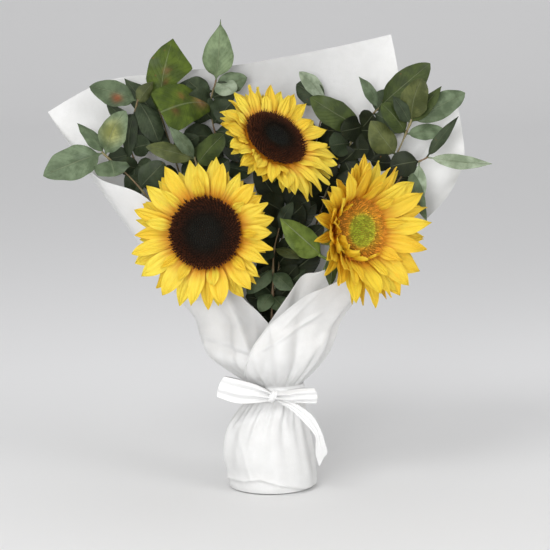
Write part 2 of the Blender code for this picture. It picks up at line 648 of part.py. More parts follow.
def make_ribbon(material):
    """The ribbon: its turn round the waist, the knot, two loops and the tail."""
    inside = WAIST_RADIUS + SHEET_STEP + PAPER_THICK + RIBBON_CLEARANCE
    outside = inside + RIBBON_THICK
    half = RIBBON_HEIGHT / 2
    waist = Matrix.Translation((WAIST_CENTRE_X, 0, WAIST_HEIGHT))
    knot_centre = Vector((0.002, -outside - 0.0048, WAIST_HEIGHT))
    slope = KNOT_RADIUS * 0.75
    profile = [(0, -KNOT_HALF_HEIGHT), (slope, -0.0062), (KNOT_RADIUS, -0.002), (KNOT_RADIUS, 0.002),
               (slope, 0.0062), (0, KNOT_HALF_HEIGHT)]
    shapes = [ring(waist, inside, outside, -half, half, 36),
              lathe(profile, 10, Matrix.Translation(knot_centre))]
    for end, spread, depth in LOOPS:
        toward = end - knot_centre
        near = knot_centre + Vector((0, depth - 0.0015, 0))
        far = knot_centre + Vector((0, depth + 0.0017, 0))
        bend = Vector((0, 0.0045, 0))
        loop = [near, near + toward * 0.45 + Vector((0, -0.0065, 0)), end - bend - toward * 0.08,
                end, end + bend - toward * 0.08, far + toward * 0.5, far]
        path = smooth_path(loop, 18)
        steps = [after - before for before, after in zip(path, path[1:])]
        facings = [step.cross(Vector((0, 0, 1))) for step in [*steps, steps[-1]]]
        heights = []
        for point in path:
            opened = min(1.0, (point - knot_centre).length / toward.length * 1.7)
            heights.append(RIBBON_PINCH + (spread - RIBBON_PINCH) * opened)
        shapes.append(strip(path, facings, heights))
    tail = smooth_path([knot_centre, *TAIL], len(TAIL_WIDTHS) - 1)
    shapes.append(strip(tail, [Vector((0.35, -1, 0.25))] * len(tail), TAIL_WIDTHS))
    shade_round(fuse("ribbon", shapes, material), 40)


def make_stem_tie(material):
    """The twine that binds the stems, hidden under the paper."""
    waist = Matrix.Translation((WAIST_CENTRE_X, 0, WAIST_HEIGHT))
    shape = ring(waist, TIE_RADIUS, TIE_RADIUS + TIE_THICK, -TIE_HEIGHT / 2, TIE_HEIGHT / 2, 20)
    shade_round(make_object("stem_tie", shape, material), 40)


def main():
    clear_scene()
    for flower in SUNFLOWERS:
        make_sunflower(*flower)
    for stem in EUCALYPTUS:
        make_eucalyptus(*stem)
    paper = make_material("wrap_paper", PAPER_WHITE, 0.85)
    make_sheets(paper)
    make_ribbon(make_material("ribbon_satin", RIBBON_WHITE, 0.4))
    make_stem_tie(make_material("twine", TWINE, 0.9))


main()
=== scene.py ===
"""Looks of the sunflower and eucalyptus bouquet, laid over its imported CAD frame.

Metres, +Z up, front towards -Y, in the CAD's own frame. Places are written in millimetres
through mm(). A grid is an array of points (rows, columns, 3). Each point of a mesh has a shade,
which is its share along the piece, its share across it and the piece's own chance value, and a
tone, which is its colour.
"""
import math
import random

import bpy
import numpy as np
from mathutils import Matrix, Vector

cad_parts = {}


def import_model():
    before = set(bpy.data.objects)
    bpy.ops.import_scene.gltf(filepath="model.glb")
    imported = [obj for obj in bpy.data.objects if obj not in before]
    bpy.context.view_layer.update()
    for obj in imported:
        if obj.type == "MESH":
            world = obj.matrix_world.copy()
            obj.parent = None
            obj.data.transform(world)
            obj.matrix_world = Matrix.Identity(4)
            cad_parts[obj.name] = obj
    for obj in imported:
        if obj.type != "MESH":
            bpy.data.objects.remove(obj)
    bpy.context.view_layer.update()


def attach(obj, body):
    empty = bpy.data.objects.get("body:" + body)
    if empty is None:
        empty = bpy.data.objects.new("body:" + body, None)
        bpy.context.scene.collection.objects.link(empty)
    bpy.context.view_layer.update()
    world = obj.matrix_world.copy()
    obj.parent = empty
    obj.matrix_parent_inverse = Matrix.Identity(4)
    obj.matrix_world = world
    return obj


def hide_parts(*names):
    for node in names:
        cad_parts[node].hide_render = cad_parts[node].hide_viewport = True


MILLIMETRE = 0.001
UP = np.array((0.0, 0.0, 1.0))

# A direction that no stem follows, from which the sides of a round bar are counted
ASIDE = (0.3, 1.0, 0.2)

# Values shared with the CAD source: lengths in metres, numbers of pieces, and shares of a size
PAPER_THICK = 0.0008
FOOT_RADIUS = 0.041
FOOT_HEIGHT = 0.012
WAIST_HEIGHT = 0.092
WAIST_RADIUS = 0.0235
WAIST_CENTRE_X = 0.0040
SHEET_STEP = 0.0016
SUNFLOWER_STEM_RADIUS = 0.0045
EUCALYPTUS_STEM_RADIUS = 0.0018
TWIG_RADIUS = 0.0009
STALK_RADIUS = 0.0014
RIBBON_HEIGHT = 0.0125
NECK_BOTTOM = 0.0850
NECK_TOP = 0.0990
PETALS_PER_LAYER = 15
PETAL_ROOT = 0.915
PETAL_ARCH = 0.05
PETAL_FOLD = 0.22
COLLAR_THICK = 0.0028
COLLAR_INNER = 0.72
COLLAR_OUTER = 0.96
BRACT_COUNT = 13
BRACT_WIDTH = 0.012
BRACT_REACH = 0.017
LEAF_FOLD = -0.18
PUFF_HEIGHT = 0.060
PUFF_DEPTH = 0.0112
FLARE = 0.14
LEFT_FULLNESS = 0.10
PLEAT_DEPTH = 0.0022

# Height at which the stems are cut, and the stems' splay below the tie, as (times their distance
# from the axis at the tie, height), metres
STEM_CUT_HEIGHT = 0.0024
STEM_SPLAY = ((1.65, STEM_CUT_HEIGHT), (1.3, 0.045))

# Height of a bract's tip in the head's frame, before it rises with the petals, metres
BRACT_DROP = -0.0085

# Fineness of the blades: points along and across
PETAL_GRID = (22, 13)
LEAF_GRID = (24, 13)
BRACT_GRID = (12, 7)

# Fineness of the stems: steps along and sides
TWIG_GRID = (48, 8)
STEM_GRID = (60, 16)
STALK_GRID = (10, 8)

# Fineness of the ribbon: points along and across its loops and tail, and across and round the band
# and the knot
LOOP_GRID = (81, 21)
LOOP_SAMPLES = 100
TAIL_GRID = (65, 15)
BAND_GRID = (15, 120)
KNOT_GRID = (17, 48)

# Fineness of the paper, the round forms of a head and the floor
COLUMN_DEGREES = 1.25
SKIRT_ROWS = 40
UPPER_ROWS = 84
COLLAR_SIDES = 48
DOME_SIDES = 64
CUP_SIDES = 40
FLORET_SIDES = 6
SWEEP_ROWS = 41
FLOOR_COLUMNS = 13

# Numbers of florets on a disc and hairs on a stem, the turn from one floret to the next, and the
# angle between faces from which an edge is sharp
FLORETS = 720
HAIRS = 1400
GOLDEN_TURN = math.radians(137.508)
EDGE_ANGLE = 50

# How much fuller the petals are than the CAD's blades
PETAL_FULLNESS = 1.12

# How light the back of a petal is beside its front, and that of one folded into the light, painted lighter
# as painted light
PETAL_BACK = (0.92, 0.80, 0.70)
LIT_FOLDED_BACK = (1.0, 0.96, 0.90)

# Petals beside the two full layers, behind and in front: their number, the layer whose cup they follow,
# degrees added to it, depth below the disc's edge as a share of the collar, reach and width as shares of the
# head's, and how light they are: those behind are painted darker as painted shade
LOOSE_PETALS = [
    (22, 1, (-8, 0), 0.92, (0.84, 1.06), (0.52, 0.82), 0.92),
    (9, 0, (6, 22), 0.22, (0.50, 0.84), (0.50, 0.74), 1.0),
]

# A twig's thickness at its tip, as a share of the CAD's
TWIG_SLIMMING = 0.6

# Thicknesses, and the least half-width of a blade, metres
PETAL_THICK = 0.0006
LEAF_THICK = 0.0007
BRACT_THICK = 0.0007
PAPER_SHOWN = 0.00035
RIBBON_SHOWN = 0.00035
THINNEST = 0.0002

# Depth of a petal's grooves and of the waves in its edges, metres
PETAL_GROOVE = 0.00065
PETAL_WAVE = 0.0012

# Share of its length that a leaf's stalk takes, half-widths of the stalk and of a drip tip in metres,
# the arch of a leaf that isn't a main one, and how much further a patch spreads across than along
LEAF_STALK = 0.08
STALK_HALF = 0.0008
DRIP_HALF = 0.0010
SIDE_LEAF_ARCH = 0.06
PATCH_SPREAD = 1.6

# Hairs: lengths, and width and depth of the foot, metres
HAIR_LENGTHS = (0.0008, 0.0018)
HAIR_WIDTH = 0.00009
HAIR_DEPTH = 0.00008

# Heights in a head's own frame through which its stem ends, metres
STEM_TOP = (-0.030, -0.016)

# The florets' bed: rows of its dome as shares of the disc's radius, rows of its underside, and how
# far it lies below the florets' feet, metres
DOME_SHARES = (0.02, 0.16, 0.32, 0.46, 0.60, 0.73, 0.85, 0.93)
DOME_UNDERSIDE = (0.80, 0.02)
DOME_GAP = 0.0004

# Rings of a floret from its foot up, as (radius, height): a closed bud, and an open floret whose
# third ring is a three-pointed star
BUD_RINGS = [(1.0, -0.6), (1.0, 0.2), (0.72, 0.75), (0.30, 1.0)]
FLOWER_RINGS = [(0.50, -0.6), (0.55, 0.45), (1.05, 0.85), (0.42, 0.72), (0.34, 1.15), (0.14, 1.55)]
FLOWER_STAR = 0.28

# Backdrop: where the floor starts to curve up and how tightly, how far the floor reaches and how high
# the backdrop ends, metres. It stays far enough out to be seen from behind the bouquet too.
SWEEP_START = 4.2
SWEEP_RADIUS = 1.2
FLOOR_REACH = 6.0
BACKDROP_TOP = 3.2

# Lamps: place, size, power in watts, and width of the beam in degrees. All aim at one point.
LAMPS = {
    "key": ((-0.9, -1.5, 1.9), 1.1, 4.5, 90),
    "front": ((-0.7, -3.6, 0.75), 1.4, 7.6, 60),
    "fill": ((1.5, -1.3, 1.0), 1.3, 2.5, 80),
    "top": ((0.2, 0.5, 2.2), 1.2, 2.5, 180),
}
LAMP_AIM = (0, 0, 0.2)
ROOM_LIGHT = 0.54

# Camera: place, degrees that it looks down, and lens and sensor width in millimetres
CAMERA_PLACE = (0.004, -2.007, 0.499)
CAMERA_TILT = 8.5
CAMERA_LENS = 143.87
SENSOR_WIDTH = 36

# Colours, linear RGB
YELLOW = (0.98, 0.76, 0.056)
LEMON = (0.99, 0.87, 0.100)
AMBER = (0.98, 0.72, 0.046)
BUTTER = (0.99, 0.84, 0.074)
PETAL_BASE = (0.86, 0.32, 0.015)
GREY = (0.140, 0.190, 0.105)
SILVER = (0.172, 0.232, 0.118)
PALE = (0.300, 0.360, 0.245)
DUSK = (0.100, 0.140, 0.072)
DARK = (0.042, 0.060, 0.028)
OLIVE = (0.092, 0.108, 0.032)
GREEN = (0.062, 0.095, 0.007)
FOREST = (0.052, 0.075, 0.016)
# Near-black leaves deep in the bunch: painted shade
LEAF_DEEP_SHADE = (0.015, 0.021, 0.007)
LEAF_BRIGHT = (0.150, 0.210, 0.038)
CALYX = (0.120, 0.180, 0.040)
STEM_GREEN = (0.140, 0.200, 0.055)
TWIG = (0.170, 0.115, 0.060)
RIB_PALE = (0.330, 0.370, 0.220)
BLEMISH = (0.180, 0.065, 0.020)
BLOOM = (0.420, 0.480, 0.400)
PAPER = (0.905, 0.905, 0.900)
SATIN = (0.875, 0.875, 0.872)
TWINE = (0.400, 0.280, 0.150)
HAIR_COLOUR = (0.420, 0.460, 0.300)
STEM_BROWN = (0.200, 0.160, 0.060)
TWIG_MOSSY = (0.220, 0.200, 0.085)
TWIG_DARK = (0.110, 0.055, 0.025)
SATIN_THREAD = (0.860, 0.860, 0.855)
SELVEDGE = (0.800, 0.800, 0.790)
TWINE_FIBRE = (0.260, 0.170, 0.085)
# Painted shade in the twine's grooves
TWINE_GROOVE_SHADE = (0.120, 0.075, 0.035)
# Floor round the bouquet: painted shade
FLOOR_SHADE_NEAR = (0.780, 0.780, 0.780)
FLOOR_MID = (0.880, 0.880, 0.890)
FLOOR_FAR = (0.940, 0.940, 0.948)


def mm(*place):
    """A place written in millimetres, in metres."""
    return np.array(place, float) * MILLIMETRE


# Heads: disc centre, facing direction, disc radius, petal length and width, cups of the upper
# and lower layer in degrees
HEADS = {
    "left": (mm(-57, -66, 247), (-0.14, -0.97, 0.12), 0.0325, 0.036, 0.0165, (14, 4)),
    "top": (mm(2.5, -8, 323.5), (0.458, -0.575, 0.678), 0.0300, 0.035, 0.0155, (14, 4)),
    "right": (mm(77.5, -50, 247), (0.58, -0.80, 0.08), 0.0285, 0.044, 0.0175, (38, 24)),
}

# The side on which a head's petals are short or raised: its direction, how near to it a petal
# points before it changes, as a cosine, how much shorter it gets, and degrees that it is raised
SHORT_SIDES = {
    "left": ((1.0, 0.0, 0.15), 0.10, 0.20, 0),
    "top": ((-0.85, 0.0, -0.45), -0.35, 0.33, 0),
    "right": ((-1.0, 0.0, 0.05), 0.10, 0.10, 15),
}

# Petals folded over the edge of a disc: direction seen from the front, in degrees anticlockwise
# from the right, and reach as a share of the head's petal length; and the degrees they are raised
FOLDED_PETALS = {"right": [(200, 0.44), (224, 0.50), (250, 0.54), (286, 0.48)]}
FOLDED_LIFT = 92

# The way of each sunflower stem up from the tie
SUNFLOWER_STEMS = {
    "left": [mm(-7, -9, 92), mm(-27, -17, 150), mm(-46, -22, 205), mm(-53, -27, 236)],
    "top": [mm(1, 3, 92), mm(0, 7, 170), mm(-6, 12, 255), mm(-11.5, 12, 294.5)],
    "right": [mm(8, -7, 92), mm(31, -14, 150), mm(54, -19, 210), mm(58, -24, 231)],
}

# Broad leaves on sunflower stems: start in the stem, base and tip of the leaf, width, colour
SUNFLOWER_LEAVES = {
    "right": [(mm(57, -20, 214), mm(44, -31, 222), mm(7, -43, 257), 0.028, LEAF_BRIGHT),
              (mm(57, -20, 216), mm(53, -33, 223), mm(54, -36, 193), 0.012, FOREST)],
}

# Colours of a disc's florets by their share of the radius: (share, colour of the tips)
DISC_ZONES = {
    "left": [(0.0, (0.014, 0.016, 0.013)), (0.36, (0.012, 0.013, 0.010)), (0.50, (0.012, 0.008, 0.004)),
             (0.72, (0.055, 0.016, 0.006)), (1.0, (0.100, 0.030, 0.009))],
    "top": [(0.0, (0.014, 0.016, 0.013)), (0.30, (0.012, 0.013, 0.010)), (0.44, (0.014, 0.009, 0.004)),
            (0.72, (0.055, 0.016, 0.006)), (1.0, (0.100, 0.030, 0.009))],
    "right": [(0.0, (0.330, 0.410, 0.035)), (0.50, (0.440, 0.450, 0.038)), (0.62, (0.740, 0.410, 0.040)),
              (0.78, (0.760, 0.370, 0.040)), (1.0, (0.720, 0.320, 0.036))],
}

# Share of the disc's radius inside which its florets are still closed buds, the colour of the bed between
# them, and how light the florets are at their foot, where painted shade darkens them
DISC_BUDS = {"left": 0.50, "top": 0.46, "right": 0.58}
DISC_BEDS = {"left": (0.016, 0.010, 0.006), "top": (0.016, 0.010, 0.006), "right": (0.400, 0.200, 0.028)}
DISC_FEET = {"left": 0.0, "top": 0.0, "right": 0.62}

# Forms of gum leaf: roundness of the foot and of the tip (0.5 is an ellipse), and the share of the
# length that a thin drip tip takes
LEAF_FORMS = {
    "oval": (0.60, 0.74, 0.0),
    "round": (0.52, 0.60, 0.0),
    "gum": (0.72, 1.05, 0.0),
    "drip": (0.60, 1.12, 0.07),
}

# Two odd leaves have their own outline, as (share of the length, half-widths of the two sides as
# shares of the width): a kite with one sharp corner, and a fan with a blunt end
ODD_FORMS = {
    "kite": [(0, 0.04, 0.04), (0.16, 0.22, 0.20), (0.39, 0.40, 0.34), (0.64, 0.40, 0.68), (0.68, 0.38, 0.66),
             (0.86, 0.22, 0.28), (1.0, 0.0, 0.0)],
    "fan": [(0, 0.06, 0.06), (0.15, 0.20, 0.22), (0.45, 0.36, 0.42), (0.80, 0.50, 0.50), (0.93, 0.50, 0.50),
            (1.0, 0.38, 0.44)],
}

# Coloured patches on leaves: stem and number of the leaf, place along and across it, radius as a
# share of the leaf, colour
LEAF_PATCHES = {
    ("left_back", 0): [(0.42, 0.32, 0.09, (0.340, 0.080, 0.020))],
    ("left_front", 1): [(0.50, 0.45, 0.22, (0.340, 0.340, 0.110))],
    ("left_tall", 0): [(0.55, 0.55, 0.05, (0.120, 0.050, 0.012)),
                       (0.40, 0.62, 0.05, (0.100, 0.045, 0.012))],
    ("tall_centre", 4): [(0.25, 0.50, 0.14, (0.240, 0.140, 0.060)),
                         (0.80, 0.40, 0.05, (0.110, 0.050, 0.012)),
                         (0.60, 0.70, 0.05, (0.120, 0.060, 0.015))],
}

# Leaves that fill the bunch behind the main ones: first and last share of the stem's way, number of pairs,
# length and width in millimetres, colour. Their darkest colour is painted shade of the deep bunch.
FILL_LEAVES = {
    "left_back": (0.45, 0.75, 3, 24, 19, DARK),
    "left_tall": (0.48, 0.88, 4, 28, 23, DARK),
    "left_inner": (0.40, 0.92, 7, 26, 21, DARK),
    "tall_centre": (0.46, 0.86, 7, 30, 25, DARK),
    "back_right": (0.56, 0.90, 6, 26, 20, LEAF_DEEP_SHADE),
    "right_back": (0.38, 0.82, 6, 27, 22, LEAF_DEEP_SHADE),
    "right_high": (0.42, 0.75, 4, 24, 20, LEAF_DEEP_SHADE),
    "centre_deep": (0.26, 0.98, 15, 29, 25, LEAF_DEEP_SHADE),
}

# Eucalyptus stems: the way up from the tie, and leaves as (share of the way, tip, width in
# millimetres, roll in degrees, colour, form)
EUCALYPTUS = {
    "left_front": (
        [mm(-13, -4, 92), mm(-62, -8, 195), mm(-115, -13, 276), mm(-154, -10, 314)],
        [(0.99, mm(-206, -22, 292), 34, 10, GREY, "oval"),
         (0.97, mm(-131, -16, 352), 28, -18, GREY, "oval"),
         (0.98, mm(-177, 2, 339), 15, 20, DUSK, "gum"),
         (0.93, mm(-141, -23, 293), 33, -15, DUSK, "round"),
         (0.70, mm(-97, -24, 305), 25, 25, DARK, "round")]),
    "left_back": (
        [mm(-13.5, 2, 92), mm(-60, 8, 195), mm(-114, 12, 280), mm(-130, 17, 322), mm(-122, 16, 360)],
        [(0.99, mm(-166, 8, 372), 25, 0, DUSK, "oval"), (0.84, mm(-152, 24, 356), 16, 30, DARK, "gum"),
         (0.99, mm(-104, 10, 320), 24, -20, DARK, "round"),
         (0.93, mm(-131, 8, 306), 15, 10, DARK, "gum"), (0.97, mm(-108, 22, 376), 14, 15, OLIVE, "gum"),
         (0.79, mm(-92, 12, 316), 24, -20, DARK, "round"),
         (0.62, mm(-128, 4, 262), 20, 20, DARK, "gum")]),
    "left_tall": (
        [mm(-10, 8, 92), mm(-45, 24, 185), mm(-78, 32, 270), mm(-104, 34, 350)],
        [(0.99, mm(-91, 46, 414), 38, 0, GREEN, "kite"),
         (0.85, mm(-142, 34, 342), 26, 15, DARK, "round"),
         (0.80, mm(-66, 24, 320), 28, -25, FOREST, "round"),
         (0.66, mm(-122, 26, 285), 26, 20, LEAF_DEEP_SHADE, "round"),
         (0.95, mm(-136, 44, 378), 24, 15, DARK, "gum"),
         (0.66, mm(-44, 24, 290), 28, -20, LEAF_DEEP_SHADE, "round"),
         (0.52, mm(-96, 22, 248), 24, 20, LEAF_DEEP_SHADE, "round")]),
    "left_inner": (
        [mm(-7.5, 1.5, 92), mm(-30, 2, 170), mm(-52, 4, 240), mm(-70, 4, 308)],
        [(0.99, mm(-114, -6, 318), 20, 15, OLIVE, "oval"),
         (0.96, mm(-42, -2, 329), 26, -20, FOREST, "round"),
         (0.99, mm(-93, -4, 337), 14, 5, GREY, "gum"), (0.82, mm(-112, -6, 272), 24, 20, DARK, "round"),
         (0.70, mm(-30, -6, 281), 24, -15, LEAF_DEEP_SHADE, "round"),
         (0.86, mm(-38, -2, 306), 24, -20, DARK, "round"),
         (0.60, mm(-88, -10, 244), 22, 20, LEAF_DEEP_SHADE, "gum")]),
    "tall_centre": (
        [mm(-3.5, 12.5, 92), mm(-20, 34, 185), mm(-40, 46, 280), mm(-56, 51, 345), mm(-51, 51, 376)],
        [(0.99, mm(-47, 54, 432), 30, 0, SILVER, "drip"), (0.98, mm(-33, 36, 364), 22, -20, PALE, "oval"),
         (0.95, mm(-22, 52, 378), 20, 20, GREY, "oval"), (0.90, mm(-86, 50, 372), 22, -15, DARK, "gum"),
         (0.79, mm(-98, 6, 351), 46, 0, GREEN, "fan"),
         (0.80, mm(-20, 42, 338), 24, -20, DARK, "round"),
         (0.90, mm(-84, 57, 352), 22, 20, LEAF_DEEP_SHADE, "gum"),
         (0.64, mm(-4, 38, 300), 28, -20, LEAF_DEEP_SHADE, "round"),
         (0.64, mm(-66, 37, 292), 28, 20, LEAF_DEEP_SHADE, "round")]),
    "back_right": (
        [mm(4, 13, 92), mm(16, 38, 185), mm(32, 53, 275), mm(52, 58, 358)],
        [(0.99, mm(26, 54, 383), 17, 10, PALE, "oval"), (0.99, mm(24, 63, 371), 24, -15, DARK, "round"),
         (0.83, mm(8, 54, 342), 24, -15, DARK, "round"),
         (0.82, mm(74, 46, 322), 22, 20, LEAF_DEEP_SHADE, "round"),
         (0.95, mm(70, 64, 342), 20, 5, FOREST, "gum"),
         (0.66, mm(8, 44, 296), 28, -15, LEAF_DEEP_SHADE, "round"),
         (0.66, mm(66, 44, 291), 28, 20, LEAF_DEEP_SHADE, "round")]),
    "right_back": (
        [mm(9, 9, 92), mm(26, 28, 175), mm(55, 42, 280), mm(84, 47, 330), mm(101, 48, 350)],
        [(0.76, mm(36, 40, 360), 27, -10, FOREST, "round"),
         (0.99, mm(81, 42, 379), 14, 20, GREY, "gum"), (0.99, mm(149, 46, 391), 30, -8, FOREST, "oval"),
         (0.92, mm(126, 36, 334), 21, 15, DARK, "round"),
         (0.76, mm(100, 38, 300), 26, -20, LEAF_DEEP_SHADE, "round"),
         (0.94, mm(112, 54, 368), 22, 20, DARK, "gum"),
         (0.60, mm(90, 27, 266), 28, 20, LEAF_DEEP_SHADE, "round"),
         (0.58, mm(22, 30, 268), 26, -20, LEAF_DEEP_SHADE, "round"),
         (0.66, mm(54, 26, 316), 24, -10, DARK, "round")]),
    "right_high": (
        [mm(11.5, 3, 92), mm(40, 6, 175), mm(84, 10, 250), mm(114, 14, 305), mm(130, 14, 342)],
        [(0.99, mm(139, 8, 380), 27, -15, OLIVE, "round"),
         (0.98, mm(179, 18, 366), 24, 10, GREY, "oval"),
         (0.90, mm(163, 18, 330), 18, -15, GREY, "oval"),
         (0.90, mm(103, 5, 357), 25, 20, FOREST, "round"),
         (0.77, mm(92, 4, 341), 26, -10, OLIVE, "oval"), (0.97, mm(112, 8, 364), 15, 12, DARK, "gum"),
         (0.70, mm(124, 2, 280), 20, 20, LEAF_DEEP_SHADE, "round"),
         (0.62, mm(110, -6, 277), 24, 20, LEAF_DEEP_SHADE, "round"),
         (0.60, mm(58, 16, 284), 28, -20, LEAF_DEEP_SHADE, "round"),
         (0.92, mm(104, 22, 346), 18, -10, DARK, "gum"),
         (0.97, mm(157, 14, 372), 16, -15, FOREST, "gum")]),
    "right_low": (
        [mm(14.5, -2, 92), mm(48, -6, 165), mm(88, -8, 240), mm(122, -6, 294), mm(144, -5, 309)],
        [(0.99, mm(202, -8, 302), 14, 0, PALE, "gum"), (0.98, mm(171, -3, 346), 11, 20, DARK, "gum"),
         (0.90, mm(128, -10, 258), 17, -15, PALE, "oval"),
         (0.90, mm(109, -14, 301), 24, -15, LEAF_DEEP_SHADE, "round"),
         (0.80, mm(142, -21, 252), 13, 15, DUSK, "gum")]),
    "centre_deep": (
        [mm(0.5, -6, 92), mm(2, -4, 150), mm(7, 2, 205), mm(14, 4, 262)],
        [(0.99, mm(38, 2, 296), 24, 10, LEAF_DEEP_SHADE, "round"),
         (0.90, mm(42, -6, 266), 26, -20, LEAF_DEEP_SHADE, "round"),
         (0.84, mm(-24, -12, 266), 28, 20, LEAF_DEEP_SHADE, "round"),
         (0.70, mm(-24, -12, 232), 26, 15, DARK, "round"),
         (0.70, mm(40, -8, 234), 26, -15, LEAF_DEEP_SHADE, "round"),
         (0.50, mm(-20, -16, 202), 24, 20, DARK, "gum"), (0.50, mm(32, -12, 206), 24, -20, DARK, "gum"),
         (0.56, mm(47, -10, 222), 28, -15, LEAF_DEEP_SHADE, "round"),
         (0.66, mm(48, -6, 246), 26, -10, LEAF_DEEP_SHADE, "round"),
         (0.99, mm(-14, 0, 300), 22, 0, LEAF_DEEP_SHADE, "round")]),
    "centre_low": (
        [mm(0.5, -14, 92), mm(1, -14, 150), mm(2, -15, 190), mm(3, -12, 222), mm(8, -6, 244)],
        [(0.62, mm(-22, -26, 187), 20, 10, DUSK, "oval"),
         (0.60, mm(20, -26, 190), 17, -15, DUSK, "oval"),
         (0.76, mm(-14, -26, 218), 16, 15, DARK, "oval"),
         (0.78, mm(27, -26, 217), 12, -20, OLIVE, "gum"),
         (0.92, mm(-10, -18, 247), 14, 0, DARK, "oval"),
         (0.99, mm(20, -14, 268), 13, -10, DARK, "oval"),
         (0.46, mm(-10, -30, 170), 15, 10, DUSK, "oval"),
         (0.44, mm(13, -28, 172), 17, -10, DUSK, "oval")]),
}
DEEP_STEMS = ("left_tall", "left_inner", "back_right", "right_back", "centre_deep")

# Rim of each paper sheet, as (degrees round the waist from +X, point on the rim), and the
# angles at which the rim turns a sharp corner
INNER_RIM = [
    (-90, mm(-2, -38, 160)), (-104, mm(-13, -43, 173)), (-118, mm(-28, -47, 187)),
    (-140, mm(-70, -46, 230)), (-155, mm(-113, -38, 276)), (-168, mm(-158, -15, 291)),
    (-178, mm(-183, 5, 319)), (-190, mm(-206, 20, 348)), (-199, mm(-159, 45, 373)),
    (-210, mm(-113, 62, 381)), (-243, mm(-34, 76, 388)), (-285, mm(56, 82, 404)),
    (-310, mm(114, 80, 417)), (-320, mm(121, 66, 375)), (-338, mm(122, 40, 320)),
    (-356, mm(112, 10, 268)), (-385, mm(84, -19, 226)), (-410, mm(47, -31, 208)),
    (-425, mm(30, -35, 204)), (-437, mm(16, -37, 186)),
]
INNER_CORNERS = (-90, -190, -310)
OUTER_RIM = [
    (-160, mm(-22.5, -9.5, 101)), (-150, mm(-20.5, -14, 103)), (-140, mm(-18.5, -18, 106)),
    (-130, mm(-17, -23.5, 111)), (-120, mm(-15, -29.5, 123)), (-110, mm(-12, -37, 141)),
    (-100, mm(-7, -40, 152)), (-90, mm(-1, -46, 161)), (-70, mm(29, -48, 186)),
    (-55, mm(54, -44, 197)), (-37, mm(95, -32, 216)), (-14, mm(146, -12, 257)),
    (1, mm(171, 8, 288)), (10, mm(179, 28, 310)), (20, mm(173, 52, 354)),
    (36, mm(133, 78, 352)), (50, mm(98, 92, 322)),
]
OUTER_CORNERS = (-160, -90, 20, 50)

# Height of the outer sheet's hem round the foot, as (degrees, millimetres). In metres: the height
# of its lowest row before that, how far up the hem is felt, and how far it stands off the foot.
HEM = [(-160, 11), (-125, 12), (-104, 15), (-75, 9), (-40, 3.5), (-10, 3), (50, 6)]
HEM_START = 0.0065
HEM_REACH = 0.034
HEM_CLEAR = 0.0008

# Lines of the paper below the waist, as (radius, height, middle's x, depth of the gathers)
FOOT_WALL = FOOT_RADIUS - 0.0015
SKIRT = [(0.0405, HEM_REACH, -0.0030, 0.0008), (0.0345, 0.060, -0.0030, 0.0012),
         (WAIST_RADIUS, NECK_BOTTOM, WAIST_CENTRE_X, 0.0003),
         (WAIST_RADIUS, NECK_TOP, WAIST_CENTRE_X, 0.0003)]
INNER_SKIRT = [(0.0010, PAPER_THICK, 0, 0), (FOOT_RADIUS - 0.007, PAPER_THICK, 0, 0),
               (FOOT_RADIUS - 0.0022, 0.0035, 0, 0), (FOOT_WALL, FOOT_HEIGHT, 0, 0.0004), *SKIRT]
OUTER_SKIRT = [(FOOT_WALL, HEM_START, 0, 0.0004), (FOOT_WALL, 0.014, 0, 0.0004), *SKIRT]

# The sheets: rim, its corners, lines below the waist, how far out it lies, and whether it closes
SHEETS = {
    "inner": (INNER_RIM, INNER_CORNERS, INNER_SKIRT, 0.0, True),
    "outer": (OUTER_RIM, OUTER_CORNERS, OUTER_SKIRT, SHEET_STEP, False),
}

# Depth of the creases and the heights over which they begin, and depth of the neck's gathers, metres
CREASE_DEPTH = 0.0013
CREASE_HEIGHTS = (0.105, 0.17)
GATHER_DEPTH = 0.0026

# Folds in the paper, seen from the front: sheet, two ends in millimetres, depth and width in
# millimetres, and whether the paper stays lower beyond the fold
PAPER_FOLDS = [
    ("inner", (-40, 188), (-21, 140), 2.6, 1.6, True),
    ("inner", (-56, 139), (-20, 130), -2.8, 3.0, False),
    ("inner", (-47, 126), (-22, 118), 2.2, 6.0, False),
    ("inner", (-36, 112), (-20, 104), -1.4, 2.0, False),
    ("inner", (-88, 236), (-30, 168), 0.8, 2.2, False),
    ("outer", (-3, 140), (38, 165), 1.8, 2.0, False),
    ("outer", (8, 132), (52, 150), -0.9, 5.0, False),
    ("outer", (14, 160), (44, 192), 0.7, 1.8, False),
    ("outer", (22, 110), (44, 140), 0.9, 3.0, False),
    ("outer", (-10, 108), (-2, 132), -0.8, 3.0, False),
    ("outer", (-13, 84), (-30, 62), 1.9, 1.9, False),
    ("outer", (-7, 84), (-17, 56), 1.7, 1.9, False),
    ("outer", (-1, 84), (-6, 60), 1.4, 1.9, False),
    ("outer", (8, 84), (14, 64), 1.0, 2.2, False),
    ("outer", (-30, 60), (-20, 20), 0.8, 2.0, False),
    ("outer", (26, 66), (34, 24), 0.7, 2.5, False),
]

# How far a fold runs on past its ends, and how far beside it the paper stays lower, metres
FOLD_FADE = 0.009
FOLD_STAY = 0.022

# How far the front edge of the outer sheet rolls out, metres
ROLLED_EDGE = 0.0022

# How much darker the paper is painted where it is a single layer, as painted shade, and the heights and, at
# both ends, the angles between which its back becomes one and takes this painted shade
SINGLE_LAYER_SHADE = 0.27
SHADED_BACK_HEIGHTS = (0.18, 0.31)
SHADED_BACK_DEGREES = (192, 236)
SHADED_BACK_END_DEGREES = (330, 258)

